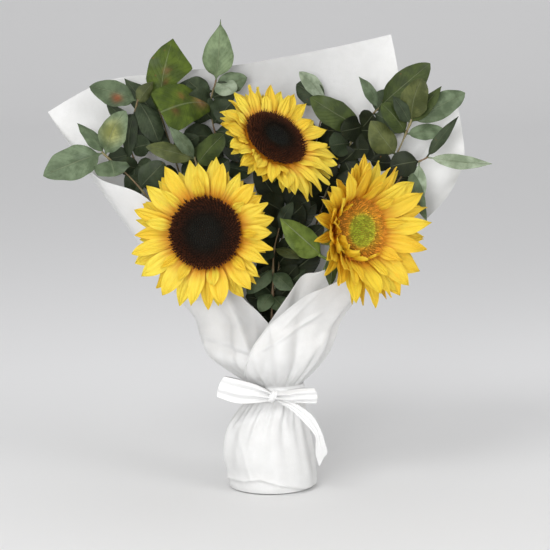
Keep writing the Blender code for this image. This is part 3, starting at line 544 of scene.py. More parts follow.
# Middle of the knot, half its width, depth and height in metres, and the ribbon's loops seen from the
# front: top and bottom edge from the knot out, in millimetres, and where their pleats begin
KNOT_CENTRE = mm(2, -33.8, 92)
KNOT_SIZE = (0.0045, 0.0054, 0.0056)
LOOPS = [([(1, 95.5), (-11.5, 102.5), (-28, 107.5), (-42.5, 110.5)],
          [(1, 88.5), (-13, 86.6), (-31, 86.4), (-49, 91.5)]),
         ([(4, 95.5), (15, 97.0), (27, 99.2), (40, 99.4)],
          [(4, 88.5), (15, 86.4), (29, 86.0), (42, 85.4)])]
LOOP_PHASES = (0.4, 1.7)

# Depth of a loop, how far back its end lies and how far that bulges out, and how far the band lies
# off the paper, metres
LOOP_DEPTH = 0.0052
LOOP_SETBACK = 0.0006
LOOP_BULGE = 0.0018
BAND_CLEAR = 0.0014

# The tail's two edges and its depth from the knot down, how much deeper its left edge lies, in
# millimetres, and the height of its folds, metres
TAIL_RIGHT = [(5, 93), (14, 90), (23.2, 85.9), (38.4, 75.5), (46.1, 62.7), (50.3, 48.9), (52.0, 40.0),
              (48.8, 34.4), (45.4, 26.5)]
TAIL_LEFT = [(4, 88), (10, 84.5), (18.6, 79.5), (29.0, 70.6), (40.0, 57.8), (41.2, 47.2), (41.2, 38.4),
             (42.6, 32.2), (44.4, 26.1)]
TAIL_DEPTH = [-32, -33.5, -35, -40, -42.5, -40, -37, -34.5, -32.5]
TAIL_TILT = 1.5
TAIL_FOLD = 0.0016


def unit(vectors):
    """Vectors scaled to length 1, along the last axis."""
    size = np.linalg.norm(vectors, axis=-1, keepdims=True)
    return vectors / np.maximum(size, 1e-12)


def around(sides):
    """Angles at even steps round a circle."""
    return 2 * math.pi * np.arange(sides) / sides


def ring(radius, height, turn):
    """Points at the given angles round the z axis."""
    return np.stack([radius * np.cos(turn), radius * np.sin(turn), np.full(len(turn), height)], -1)


def outward(turn):
    """The level direction at an angle."""
    return np.array((math.cos(turn), math.sin(turn), 0.0))


def lifted(out, lift):
    """A level direction raised by an angle."""
    return out * math.cos(lift) + UP * math.sin(lift)


def blade_axes(rows, columns):
    """Shares from 0 to 1 along a blade, by row, and places from -1 to 1 across it, by column."""
    return np.linspace(0, 1, rows)[:, None], np.linspace(-1, 1, columns)[None, :]


def smooth_path(points, samples):
    """Points on a Catmull-Rom curve through the given ones, evenly spread by parameter."""
    stops = np.array(points, float)
    stops = np.vstack([2 * stops[:1] - stops[1:2], stops, 2 * stops[-1:] - stops[-2:-1]])
    place = np.linspace(0, len(points) - 1, samples + 1)
    span = np.minimum(place.astype(int), len(points) - 2)
    t = (place - span)[:, None]
    p0, p1, p2, p3 = (stops[span + offset] for offset in range(4))
    return 0.5 * (2 * p1 + (p2 - p0) * t + (2 * p0 - 5 * p1 + 4 * p2 - p3) * t ** 2
                  + (3 * p1 - p0 - 3 * p2 + p3) * t ** 3)


def point_along(path, share):
    """The point at a share of a sampled path."""
    place = share * (len(path) - 1)
    index = min(int(place), len(path) - 2)
    return path[index] + (path[index + 1] - path[index]) * (place - index)


def smooth_step(low, high, value):
    """0 below low, 1 above high, and a smooth rise between them."""
    t = np.clip((value - low) / (high - low), 0, 1)
    return t * t * (3 - 2 * t)


def foot_route(route):
    """A stem's way, begun at its cut end: the stems splay below the tie."""
    tied = route[0]
    below = [np.array((tied[0] * splay, tied[1] * splay, height)) for splay, height in STEM_SPLAY]
    return [*below, tied + (WAIST_CENTRE_X, 0, 0), *route[1:]]


class Head:
    """A flower head's own frame: +Z out of the disc, origin in the middle of the disc's base."""

    def __init__(self, name):
        self.name = name
        self.centre, facing, self.radius, self.length, self.width, self.cups = HEADS[name]
        turn = Vector(facing).normalized().to_track_quat("Z", "Y").to_matrix()
        self.axes = np.array(turn)
        self.golden = name == "right"

    def turn(self, vectors):
        return np.asarray(vectors) @ self.axes.T

    def place(self, points):
        return self.centre + self.turn(points)


class Shape:
    """One mesh being gathered: its points and faces, and what the materials read at each point."""

    def __init__(self):
        self.points = []
        self.shades = []
        self.tones = []
        self.faces = []
        self.slots = []
        self.count = 0

    def add(self, points, faces, shade, tone, slot=0):
        """Add points (n, 3) and faces (m, 3 or 4), with a shade and a tone of three values each."""
        points = points.reshape(-1, 3)
        self.points.append(points)
        self.shades.append(np.broadcast_to(shade, points.shape))
        self.tones.append(np.broadcast_to(tone, points.shape))
        self.faces.append(faces + self.count)
        self.slots.append(np.full(len(faces), slot))
        self.count += len(points)

    def build(self, name, materials):
        """The Blender object, with the attributes "shade" and "tone"."""
        mesh = bpy.data.meshes.new(name)
        mesh.vertices.add(self.count)
        mesh.vertices.foreach_set("co", np.concatenate(self.points).astype(np.float32).ravel())
        corners = np.concatenate([faces.ravel() for faces in self.faces])
        sizes = np.concatenate([np.full(len(faces), faces.shape[1]) for faces in self.faces])
        mesh.loops.add(len(corners))
        mesh.loops.foreach_set("vertex_index", corners.astype(np.int32))
        mesh.polygons.add(len(sizes))
        mesh.polygons.foreach_set("loop_start", (np.cumsum(sizes) - sizes).astype(np.int32))
        mesh.polygons.foreach_set("material_index", np.concatenate(self.slots).astype(np.int32))
        mesh.update(calc_edges=True)
        mesh.validate()
        mesh.shade_smooth()
        mesh.set_sharp_from_angle(angle=math.radians(EDGE_ANGLE))
        self.write(mesh, "shade", self.shades)
        self.write(mesh, "tone", self.tones)
        for material in materials:
            mesh.materials.append(material)
        piece = bpy.data.objects.new(name, mesh)
        bpy.context.scene.collection.objects.link(piece)
        return piece

    def write(self, mesh, name, parts):
        """Give the mesh an attribute that its materials can read."""
        values = np.ones((self.count, 4))
        values[:, :3] = np.concatenate(parts)
        layer = mesh.attributes.new(name, "FLOAT_COLOR", "POINT")
        layer.data.foreach_set("color", values.astype(np.float32).ravel())


def grid_faces(rows, columns, closed=False):
    """Quads of a grid whose points are numbered row by row."""
    row, column = np.meshgrid(np.arange(rows - 1), np.arange(columns if closed else columns - 1),
                              indexing="ij")
    here = row * columns + column
    there = row * columns + (column + 1) % columns
    return np.stack([here, there, there + columns, here + columns], -1).reshape(-1, 4)


def grid_normals(grid, closed=False):
    """Unit normals of a grid, on the side from which its columns run anticlockwise."""
    across = np.gradient(grid, axis=1)
    if closed:
        across = np.roll(grid, -1, axis=1) - np.roll(grid, 1, axis=1)
    return unit(np.cross(across, np.gradient(grid, axis=0)))


def add_sheet(shape, grid, thickness, chance, tone, back_tone=None, closed=False, slot=0, taper=False):
    """Add a closed thin solid round a grid; its two faces meet at the grid's edges."""
    rows, columns = grid.shape[:2]
    share, across = blade_axes(rows, columns)
    section = np.sqrt(1 - across[..., None] ** 4) if taper else 1.0
    offset = grid_normals(grid, closed) * thickness / 2 * section
    inside = np.zeros((rows, columns), bool)
    inside[1:-1, (slice(None) if closed else slice(1, -1))] = True
    offset[~inside] = 0
    behind = np.arange(rows * columns).reshape(rows, columns)
    behind[inside] = rows * columns + np.arange(inside.sum())
    faces = grid_faces(rows, columns, closed)
    shade = np.zeros((rows, columns, 3))
    shade[..., 0] = share
    shade[..., 1] = np.linspace(0, 1, columns)
    shade[..., 2] = chance
    tone = np.broadcast_to(tone, (rows, columns, 3))
    back_tone = tone if back_tone is None else np.broadcast_to(back_tone, (rows, columns, 3))
    points = np.vstack([(grid + offset).reshape(-1, 3), (grid - offset)[inside]])
    shades = np.vstack([shade.reshape(-1, 3), shade[inside]])
    tones = np.vstack([tone.reshape(-1, 3), back_tone[inside]])
    shape.add(points, np.vstack([faces, behind.ravel()[faces][:, ::-1]]), shades, tones, slot)


def blade_grid(root, tip, facing, half, lift, arch=0.0, twist=0.0, bend=0.0, curl=0.0):
    """Points of a blade from root to tip.

    half is the half-width (rows, and 1 or as many columns), and lift the height of the section
    (rows, columns). twist is in radians; arch, bend and curl are shares of the length.
    """
    rows, columns = lift.shape
    span = tip - root
    length = np.linalg.norm(span)
    along = span / length
    side = unit(np.cross(along, facing))
    up = np.cross(side, along)
    share, across = blade_axes(rows, columns)
    rise = length * (arch * 4 * share * (1 - share) + curl * share ** 3)
    sway = length * bend * np.sin(math.pi * share)
    angle = twist * (share - 0.3)
    sideways = half * across * np.cos(angle) - lift * np.sin(angle) + sway
    upwards = half * across * np.sin(angle) + lift * np.cos(angle) + rise
    return (root + along * (length * share)[..., None] * np.ones((1, columns, 1))
            + side * sideways[..., None] + up * upwards[..., None])


def add_tube(shape, path, radii, sides, tone, slot=0):
    """Add a round bar along a path, closed at both ends."""
    ahead = unit(np.gradient(path, axis=0))
    across = unit(np.cross(ahead, ASIDE))
    third = np.cross(ahead, across)
    turn = around(sides)
    spokes = across[:, None] * np.cos(turn)[None, :, None] + third[:, None] * np.sin(turn)[None, :, None]
    radii = np.broadcast_to(np.asarray(radii, float), (len(path),))
    points = path[:, None] + spokes * radii[:, None, None]
    shade = np.zeros((len(path), sides, 3))
    shade[..., 0] = np.linspace(0, 1, len(path))[:, None]
    shade[..., 1] = (turn / (2 * math.pi))[None, :]
    ends = np.vstack([points.reshape(-1, 3), path[:1], path[-1:]])
    shades = np.vstack([shade.reshape(-1, 3), shade[0, :1], shade[-1, :1]])
    foot = len(path) * sides
    start = np.arange(sides)
    after = (start + 1) % sides
    last = foot - sides
    caps = np.vstack([np.stack([after, start, np.full(sides, foot)], -1),
                      np.stack([last + start, last + after, np.full(sides, foot + 1)], -1)])
    shape.add(ends, grid_faces(len(path), sides, closed=True), shades, tone, slot)
    shape.faces.append(caps + shape.count - len(ends))
    shape.slots.append(np.full(len(caps), slot))


def add_rings(shape, head, rows, shade, tone, flip=False):
    """Add a round form on a head, from its rings of points."""
    faces = grid_faces(len(rows), len(rows[0]), closed=True)
    shape.add(head.place(np.array(rows)), faces[:, ::-1] if flip else faces, shade, tone)


class Graph:
    """A material's nodes, with short calls for the kinds used here."""

    def __init__(self, name, roughness, **sockets):
        self.material = bpy.data.materials.new(name)
        self.material.use_nodes = True
        self.tree = self.material.node_tree
        self.shader = self.tree.nodes["Principled BSDF"]
        self.output = self.tree.nodes["Material Output"]
        self.shader.inputs["Roughness"].default_value = roughness
        for socket, value in sockets.items():
            self.shader.inputs[socket.replace("_", " ")].default_value = value

    def link(self, value, socket):
        """Feed a socket from another socket, or set it to a number or colour."""
        if isinstance(value, bpy.types.NodeSocket):
            self.tree.links.new(value, socket)
        elif isinstance(value, tuple) and len(value) == 3 and socket.type == "RGBA":
            socket.default_value = (*value, 1.0)
        else:
            socket.default_value = value

    def node(self, kind, *values, **settings):
        """A node with its first sockets fed in order; None skips one."""
        node = self.tree.nodes.new("ShaderNode" + kind)
        for name, value in settings.items():
            setattr(node, name, value)
        for socket, value in zip(node.inputs, values):
            if value is not None:
                self.link(value, socket)
        return node

    def math(self, operation, *values):
        return self.node("Math", *values, operation=operation).outputs[0]

    def times(self, a, b):
        return self.math("MULTIPLY", a, b)

    def plus(self, a, b):
        return self.math("ADD", a, b)

    def between(self, value, low, high, to_low=0.0, to_high=1.0):
        """A value's smooth share of the way from low to high."""
        node = self.node("MapRange", value, low, high, to_low, to_high, interpolation_type="SMOOTHSTEP")
        return node.outputs[0]

    def place(self):
        return self.node("TexCoord").outputs["Object"]

    def read(self, name):
        """The colour in an attribute of the mesh."""
        source = self.node("Attribute", attribute_name=name, attribute_type="GEOMETRY")
        return source.outputs["Color"]

    def shade(self):
        """Share along the piece, share across it, and the piece's own chance value."""
        return self.node("SeparateColor", self.read("shade")).outputs[:]

    def point(self, x, y, z):
        return self.node("CombineXYZ", x, y, z).outputs[0]

    def stretch(self, vector, x, y, z):
        node = self.node("Mapping", vector, vector_type="POINT")
        node.inputs["Scale"].default_value = (x, y, z)
        return node.outputs[0]

    def noise(self, vector, scale, detail=3.0, rough=0.55, distortion=0.0):
        node = self.node("TexNoise")
        self.link(vector, node.inputs["Vector"])
        node.inputs["Scale"].default_value = scale
        node.inputs["Detail"].default_value = detail
        node.inputs["Roughness"].default_value = rough
        node.inputs["Distortion"].default_value = distortion
        return node.outputs[0]

    def cells(self, vector, scale):
        node = self.node("TexVoronoi")
        self.link(vector, node.inputs["Vector"])
        node.inputs["Scale"].default_value = scale
        return node.outputs["Distance"]

    def mix(self, share, a, b, blend="MIX"):
        node = self.node("Mix", data_type="RGBA", blend_type=blend)
        self.link(share, node.inputs[0])
        self.link(a, node.inputs[6])
        self.link(b, node.inputs[7])
        return node.outputs[2]

    def tint(self, colour, factors):
        return self.mix(1.0, colour, factors, blend="MULTIPLY")

    def off_middle(self, value):
        """How far a value lies from one half."""
        return self.math("ABSOLUTE", self.math("SUBTRACT", value, 0.5))

    def bump(self, height, distance, strength=1.0, normal=None):
        node = self.node("Bump")
        node.inputs["Strength"].default_value = strength
        node.inputs["Distance"].default_value = distance
        self.link(height, node.inputs["Height"])
        if normal is not None:
            self.link(normal, node.inputs["Normal"])
        return node.outputs[0]

    def finish(self, colour, normal=None, roughness=None, through=0.0):
        """Join up the shader, letting some of the light through where through is over 0."""
        self.link(colour, self.shader.inputs["Base Color"])
        if normal is not None:
            self.link(normal, self.shader.inputs["Normal"])
        if roughness is not None:
            self.link(roughness, self.shader.inputs["Roughness"])
        if through:
            thin = self.node("BsdfTranslucent")
            self.link(colour, thin.inputs["Color"])
            blend = self.node("MixShader", through)
            self.link(self.shader.outputs[0], blend.inputs[1])
            self.link(thin.outputs[0], blend.inputs[2])
            self.link(blend.outputs[0], self.output.inputs["Surface"])
        return self.material


def petal_material():
    """Yellow ray petals: an orange foot, fine veins along them, and deeper patches."""
    graph = Graph("petal", roughness=0.50)
    along, across, chance = graph.shade()
    spread = graph.point(graph.times(across, 26.0), graph.times(along, 2.0), graph.times(chance, 60.0))
    veins = graph.noise(spread, 1.0, detail=4.0, rough=0.6)
    wide = graph.point(graph.times(across, 6.0), graph.times(along, 1.4), graph.times(chance, 40.0))
    broad = graph.noise(wide, 1.0, detail=2.0)
    foot = graph.between(graph.plus(along, graph.times(broad, 0.24)), 0.62, 0.10)
    colour = graph.mix(graph.times(foot, 0.92), graph.read("tone"), PETAL_BASE)
    darker = graph.tint(colour, (0.98, 0.84, 0.60))
    colour = graph.mix(graph.between(veins, 0.46, 0.74), colour, darker)
    colour = graph.mix(graph.times(graph.between(broad, 0.55, 0.8), 0.5), colour, darker)
    height = graph.plus(veins, graph.times(graph.noise(graph.place(), 900.0), 0.25))
    return graph.finish(colour, graph.bump(height, 0.0008), through=0.38)


def leaf_material(name, gloss, vein_count, vein_slope, rib_share):
    """Leaves: a pale midrib and side veins, mottling, waxy bloom, and brown spots."""
    graph = Graph(name, roughness=gloss, Specular_IOR_Level=0.28)
    along, across, _ = graph.shade()
    tone = graph.read("tone")
    place = graph.place()
    off_rib = graph.off_middle(across)
    rib = graph.between(off_rib, 0.030, 0.008)
    slant = graph.math("SUBTRACT", graph.times(along, vein_count), graph.times(off_rib, vein_slope))
    wobble = graph.plus(slant, graph.times(graph.noise(place, 60.0), 0.5))
    veins = graph.between(graph.off_middle(graph.math("FRACT", wobble)), 0.10, 0.02)
    mottle = graph.noise(place, 90.0, detail=5.0)
    fine = graph.noise(place, 700.0, detail=2.0)
    lighter = graph.tint(tone, (1.35, 1.32, 1.40))
    darker = graph.tint(tone, (0.62, 0.66, 0.60))
    colour = graph.mix(graph.between(mottle, 0.35, 0.68), darker, lighter)
    bloom = graph.times(graph.between(graph.noise(place, 34.0, detail=2.0), 0.54, 0.78), 0.22)
    colour = graph.mix(bloom, colour, graph.mix(0.5, tone, BLOOM))
    colour = graph.mix(graph.times(veins, 0.15), colour, lighter)
    colour = graph.mix(graph.times(rib, rib_share), colour, RIB_PALE)
    spots = graph.between(graph.cells(place, 130.0), 0.16, 0.05)
    some = graph.between(graph.noise(place, 22.0, detail=1.0), 0.60, 0.70)
    colour = graph.mix(graph.times(graph.times(spots, some), 0.85), colour, BLEMISH)
    surface = graph.plus(graph.times(veins, 0.5), graph.times(fine, 0.35))
    height = graph.plus(graph.times(rib, 1.2), surface)
    rough = graph.between(mottle, 0.25, 0.75, gloss - 0.10, gloss + 0.12)
    return graph.finish(colour, graph.bump(height, 0.0004), rough, through=0.14)


def twig_material():
    """Thin woody twigs, tan to reddish, with lengthwise grain."""
    graph = Graph("twig", roughness=0.62)
    place = graph.place()
    grain = graph.noise(graph.stretch(place, 1.0, 1.0, 0.18), 900.0, detail=4.0)
    patch = graph.noise(place, 45.0)
    colour = graph.mix(graph.between(patch, 0.4, 0.65), graph.read("tone"), TWIG_MOSSY)
    colour = graph.mix(graph.between(grain, 0.42, 0.7), colour, TWIG_DARK)
    return graph.finish(colour, graph.bump(grain, 0.0003))


def green_stem_material():
    """The sunflowers' ribbed green stems, cups and bracts."""
    graph = Graph("sunflower_green", roughness=0.58)
    tone = graph.read("tone")
    place = graph.place()
    ribs = graph.noise(graph.stretch(place, 1.0, 1.0, 0.08), 520.0, detail=3.0)
    patch = graph.noise(place, 70.0, detail=4.0)
    paler = graph.tint(tone, (1.5, 1.4, 1.3))
    colour = graph.mix(graph.between(ribs, 0.40, 0.66), tone, paler)
    colour = graph.mix(graph.times(graph.between(patch, 0.55, 0.75), 0.35), colour, STEM_BROWN)
    return graph.finish(colour, graph.bump(ribs, 0.0004))


def disc_material():
    """Disc florets: each takes its own colour from the mesh, with painted shade darkening it towards its
    foot.
    """
    graph = Graph("disc_florets", roughness=0.80, Specular_IOR_Level=0.2)
    rise, _, _ = graph.shade()
    tone = graph.read("tone")
    # Painted shade: each floret is darkened towards its foot, between its neighbours
    colour = graph.mix(graph.between(rise, 0.15, 0.80), graph.tint(tone, (0.16, 0.13, 0.12)), tone)
    grit = graph.noise(graph.place(), 1600.0, detail=2.0)
    brighter = graph.tint(colour, (1.28, 1.24, 1.20))
    colour = graph.mix(graph.between(grit, 0.5, 0.7), colour, brighter)
    return graph.finish(colour, graph.bump(grit, 0.0003))


def paper_material():
    """White non-woven paper: matted fibres, cloudy thickness, soft creases, light through it."""
    graph = Graph("wrap_paper", roughness=0.82, Specular_IOR_Level=0.3)
    place = graph.place()
    cloud = graph.noise(place, 75.0, detail=4.0)
    matted = graph.noise(graph.stretch(place, 1.0, 1.0, 0.35), 950.0, detail=4.0, distortion=1.2)
    crossed = graph.noise(graph.stretch(place, 0.4, 0.4, 1.4), 800.0, detail=3.0, distortion=1.0)
    soft = graph.noise(place, 26.0, detail=3.0, rough=0.45, distortion=0.6)
    tone = graph.read("tone")
    shaded = graph.tint(tone, (0.955, 0.955, 0.952))
    colour = graph.mix(graph.between(cloud, 0.3, 0.7), shaded, tone)
    colour = graph.mix(graph.times(graph.between(matted, 0.50, 0.72), 0.6), colour, shaded)
    creases = graph.bump(soft, 0.0035, strength=0.55)
    height = graph.plus(matted, graph.times(crossed, 0.7))
    return graph.finish(colour, graph.bump(height, 0.00018, normal=creases), through=0.30)


def satin_material():
    """Satin ribbon: a sheen across fine threads, and soft creases."""
    graph = Graph("ribbon_satin", roughness=0.34, Sheen_Weight=0.25, Sheen_Roughness=0.4)
    along, across, chance = graph.shade()
    place = graph.place()
    spread = graph.point(graph.times(across, 90.0), graph.times(along, 6.0), chance)
    threads = graph.noise(spread, 1.0, detail=2.0)
    weave = graph.noise(graph.stretch(place, 1.0, 1.0, 3.0), 1400.0, detail=2.0)
    soft = graph.noise(place, 120.0, detail=2.0)
    selvedge = graph.between(graph.off_middle(across), 0.455, 0.475)
    colour = graph.mix(graph.between(threads, 0.40, 0.70), SATIN, SATIN_THREAD)
    colour = graph.mix(graph.times(selvedge, 0.35), colour, SELVEDGE)
    creases = graph.bump(soft, 0.0011, strength=0.7)
    height = graph.plus(threads, graph.plus(graph.times(weave, 0.5), selvedge))
    return graph.finish(colour, graph.bump(height, 0.00012, normal=creases), through=0.12)


def twine_material():
    """Twisted jute twine, with strands laid at a slant, loose fibres, and painted shade in the grooves
    between its turns.
    """
    graph = Graph("twine", roughness=0.9)
    place = graph.place()
    x, y, z = graph.node("SeparateXYZ", place).outputs
    angle = graph.math("ARCTAN2", y, x)
    lay = graph.math("SINE", graph.plus(graph.times(z, 5200.0), graph.times(angle, 40.0)))
    turns = graph.math("ABSOLUTE", graph.math("SINE", graph.times(z, 1570.0)))
    fibres = graph.noise(place, 1500.0, detail=3.0)
    colour = graph.mix(graph.between(fibres, 0.3, 0.7), TWINE, TWINE_FIBRE)
    # Painted shade: darker in the grooves between the turns
    colour = graph.mix(graph.between(turns, 0.35, 0.05), colour, TWINE_GROOVE_SHADE)
    height = graph.plus(graph.times(turns, 1.4), graph.plus(graph.times(lay, 0.4), fibres))
    return graph.finish(colour, graph.bump(height, 0.0006))


def floor_material():
    """Pale floor, painted a little darker round the bouquet as painted shade, and a light grey backdrop."""
    graph = Graph("floor", roughness=0.9)
    place = graph.place()
    flat = graph.node("VectorMath", place, (1.0, 1.0, 0.0), operation="MULTIPLY").outputs[0]
    away = graph.node("VectorMath", flat, operation="LENGTH").outputs["Value"]
    # Painted shade: the floor is darker near the bouquet
    far = graph.between(graph.plus(away, graph.times(graph.noise(place, 3.0), 0.03)), 0.10, 0.70)
    grey = graph.mix(graph.between(away, 1.2, 4.0), FLOOR_MID, FLOOR_FAR)
    return graph.finish(graph.mix(far, FLOOR_SHADE_NEAR, grey))


def dress(piece, slot, *nodes):
    """Fix a piece to the bouquet, in place of its CAD nodes."""
    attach(piece, "root")
    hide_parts(*nodes)


def petal_lift(vary, width):
    """Height of a petal's section: a shallow trough with three grooves and waved edges."""
    share, across = blade_axes(*PETAL_GRID)
    trough = PETAL_FOLD * vary.uniform(0.3, 1.7) * width / 2 * np.abs(across) ** 1.6
    body = np.sin(math.pi * share) ** 0.6
    grooves = PETAL_GROOVE * np.cos(3.2 * math.pi * across + vary.uniform(-0.5, 0.5)) * body
    swing = np.sin(2 * math.pi * (vary.uniform(1.2, 2.6) * share + vary.random()))
    waves = PETAL_WAVE * swing * np.abs(across) ** 3 * share * np.sign(across + vary.uniform(-0.4, 0.4))
    return trough * (0.4 + 0.6 * np.sin(math.pi * (0.15 + 0.75 * share))) + grooves + waves


def add_petal(shape, head, root, tip, facing, width, tone, vary, curl, twist, back=PETAL_BACK):
    """Add one ray petal, whose root, tip and facing are in the head's frame."""
    share, _ = blade_axes(*PETAL_GRID)
    foot = 0.48 + 0.52 * np.sin(math.pi * np.minimum(share, 0.5))
    point = np.cos(math.pi / 2 * np.clip((share - 0.42) / 0.58, 0, 1) ** vary.uniform(1.0, 1.9))
    half = np.maximum(width / 2 * foot * point, THINNEST)
    grid = blade_grid(head.place(root), head.place(tip), head.turn(facing), half, petal_lift(vary, width),
                      arch=PETAL_ARCH, twist=twist, bend=vary.uniform(-0.03, 0.03), curl=curl)
    add_sheet(shape, grid, PETAL_THICK, vary.random(), tone, tone * back, taper=True)


def petal_tone(vary, head):
    """A petal's own yellow."""
    share = vary.random()
    low, high = (AMBER, BUTTER) if head.golden else (YELLOW, LEMON)
    return np.array(low) * (1 - share) + np.array(high) * share


def short_side(head, out):
    """How far a petal points to the side where the head's petals are short, from 0 to 1."""
    direction, start, _, _ = SHORT_SIDES[head.name]
    toward = np.array(direction) @ head.axes
    return float(smooth_step(start, 1.0, out[:2] @ unit(toward[:2])))


def make_petals(head, material):
    """The ring of ray petals: two full layers as in the CAD, and loose ones around them."""
    draw = random.Random(head.name)
    vary = random.Random(head.name + "_petals")
    shape = Shape()
    _, _, shorter, raised = SHORT_SIDES[head.name]
    for layer, cup in enumerate(head.cups):
        depth = -COLLAR_THICK * (0.32 + 0.36 * layer)
        for index in range(PETALS_PER_LAYER):
            turn = 2 * math.pi * (index + 0.5 * layer + draw.uniform(-0.12, 0.12)) / PETALS_PER_LAYER
            out = outward(turn)
            side = short_side(head, out)
            lift = math.radians(cup + draw.uniform(-5, 5) + raised * side)
            reach = (head.length + head.radius * 0.10) * draw.uniform(0.88, 1.06) * (1 - shorter * side)
            root = out * head.radius * PETAL_ROOT + (0, 0, depth)
            tip = root + lifted(out, lift) * reach + np.cross(out, UP) * draw.uniform(-0.004, 0.004)
            facing = UP + np.cross(out, UP) * draw.uniform(-0.22, 0.22)
            width = head.width * draw.uniform(0.84, 1.04) * PETAL_FULLNESS * vary.uniform(0.68, 1.06)
            add_petal(shape, head, root, tip, facing, width, petal_tone(vary, head), vary,
                      curl=vary.uniform(-0.24, 0.20), twist=vary.uniform(-0.7, 0.7))
    for count, layer, more, depth, reaches, widths, painted_dimming in LOOSE_PETALS:
        for index in range(count):
            out = outward(2 * math.pi * (index + 0.25 + vary.uniform(-0.3, 0.3)) / count)
            side = short_side(head, out)
            lift = math.radians(head.cups[layer] + vary.uniform(*more) + raised * side)
            reach = head.length * vary.uniform(*reaches) * (1 - shorter * side)
            root = out * head.radius * PETAL_ROOT - (0, 0, COLLAR_THICK * depth)
            facing = UP - out * math.sin(lift) * 0.8
            # Painted shade: the petals behind are painted darker
            add_petal(shape, head, root, root + lifted(out, lift) * reach, facing,
                      head.width * vary.uniform(*widths), petal_tone(vary, head) * painted_dimming, vary,
                      curl=vary.uniform(-0.12, 0.08), twist=vary.uniform(-0.6, 0.6))
    for degrees, share in FOLDED_PETALS.get(head.name, ()):
        turn = math.radians(degrees)
        toward = np.array((math.cos(turn), 0, math.sin(turn))) @ head.axes
        out = np.append(unit(toward[:2]), 0)
        lift = math.radians(FOLDED_LIFT + vary.uniform(-8, 8))
        root = out * head.radius * 0.98
        facing = UP * math.cos(lift) - out * math.sin(lift)
        # Painted light: a folded petal's back is painted lighter where it faces the lamps
        add_petal(shape, head, root, root + lifted(out, lift) * head.length * share, facing,
                  head.width * vary.uniform(0.95, 1.15), petal_tone(vary, head), vary,
                  curl=vary.uniform(0.05, 0.25), twist=vary.uniform(-0.3, 0.3), back=LIT_FOLDED_BACK)
    section = ((COLLAR_INNER, 0), (COLLAR_INNER, -COLLAR_THICK), (COLLAR_OUTER, -COLLAR_THICK),
               (COLLAR_OUTER, 0), (COLLAR_INNER, 0))
    collar = [ring(share * head.radius, height, around(COLLAR_SIDES)) for share, height in section]
    add_rings(shape, head, collar, (0, 0.5, 0.5), PETAL_BASE)
    piece = shape.build("petals_" + head.name, [material])
    slot = "petals_golden" if head.golden else "petals_yellow"
    dress(piece, slot, "sunflower_" + head.name + "_petals")


def floret_template(rings, star=0.0):
    """Points and triangles of a small form from (radius, height) rings, closed at the top.

    star is how far the third ring's corners stand out and in.
    """
    sides = FLORET_SIDES
    turn = around(sides)
    points = []
    for index, (radius, height) in enumerate(rings):
        spread = radius * (1 + star * np.cos(sides / 2 * turn)) if index == 2 else radius
        points.append(ring(spread, height, turn))
    points = np.concatenate([*points, [(0, 0, rings[-1][1])]])
    faces = grid_faces(len(rings), sides, closed=True)
    top = (len(rings) - 1) * sides
    start = np.arange(sides)
    caps = np.stack([top + start, top + (start + 1) % sides, np.full(sides, len(points) - 1)], -1)
    return points, np.vstack([faces[:, [0, 1, 2]], faces[:, [0, 2, 3]], caps])


def dome_height(radius, share):
    """Height of the seed disc above its base: a low dome, dished in the middle."""
    return radius * (0.10 + 0.16 * np.sin(math.pi * np.minimum(share / 1.05, 1.0)) ** 1.5)


def add_dome(shape, head):
    """The bed in which the florets stand."""
    turn = around(DOME_SIDES)
    rows = [ring(head.radius * share, dome_height(head.radius, share) - DOME_GAP, turn)
            for share in DOME_SHARES]
    rows += [ring(head.radius * share, DOME_GAP, turn) for share in DOME_UNDERSIDE]
    add_rings(shape, head, rows, (0.9, 0, 0.5), DISC_BEDS[head.name], flip=True)


def zone_colour(zones, share):
    """The disc's colour at a share of its radius."""
    stops = [stop for stop, _ in zones]
    colours = np.array([colour for _, colour in zones])
    return np.array([np.interp(share, stops, colours[:, channel]) for channel in range(3)])


def make_disc(head, material):
    """The seed disc: florets in their golden-angle spirals, closed in the middle, open outside."""
    vary = random.Random(head.name + "_disc")
    shape = Shape()
    add_dome(shape, head)
    bud = floret_template(BUD_RINGS)
    flower = floret_template(FLOWER_RINGS, FLOWER_STAR)
    spacing = head.radius * math.sqrt(math.pi / FLORETS) * 0.5
    for index in range(FLORETS):
        share = 0.99 * math.sqrt((index + 0.5) / FLORETS)
        out = outward(index * GOLDEN_TURN)
        opened = share + vary.uniform(-0.05, 0.05) > DISC_BUDS[head.name]
        points, faces = flower if opened else bud
        lean = math.radians(38 * share ** 2 + vary.uniform(-7, 7))
        axis = out * math.sin(lean) + UP * math.cos(lean)
        across = unit(np.cross(axis, (-out[1], out[0], 0.0)))
        frame = np.stack([across, np.cross(axis, across), axis])
        width = spacing * (0.78 + 0.30 * share) * vary.uniform(0.88, 1.08)
        height = head.radius * (0.055 + (0.075 if opened else 0.01) * share) * vary.uniform(0.75, 1.2)
        spin = vary.uniform(0, math.pi)
        x, y, z = points.T
        spun = np.stack([x * math.cos(spin) - y * math.sin(spin),
                         x * math.sin(spin) + y * math.cos(spin), z], -1)
        local = (spun * (width, width, height)) @ frame
        foot = out * head.radius * share * 0.95 + (0, 0, dome_height(head.radius, share))
        shade = np.zeros(points.shape)
        # The floret's height, by which the material paints shade towards its foot
        shade[:, 0] = np.clip(z / z.max(), DISC_FEET[head.name], 1)
        shade[:, 2] = vary.random()
        colour = zone_colour(DISC_ZONES[head.name], share) * vary.uniform(0.65, 1.35)
        shape.add(head.place(foot + local), faces, shade, colour)
    piece = shape.build("disc_" + head.name, [material])
    dress(piece, "disc_green" if head.golden else "disc_brown", "sunflower_" + head.name + "_disc")


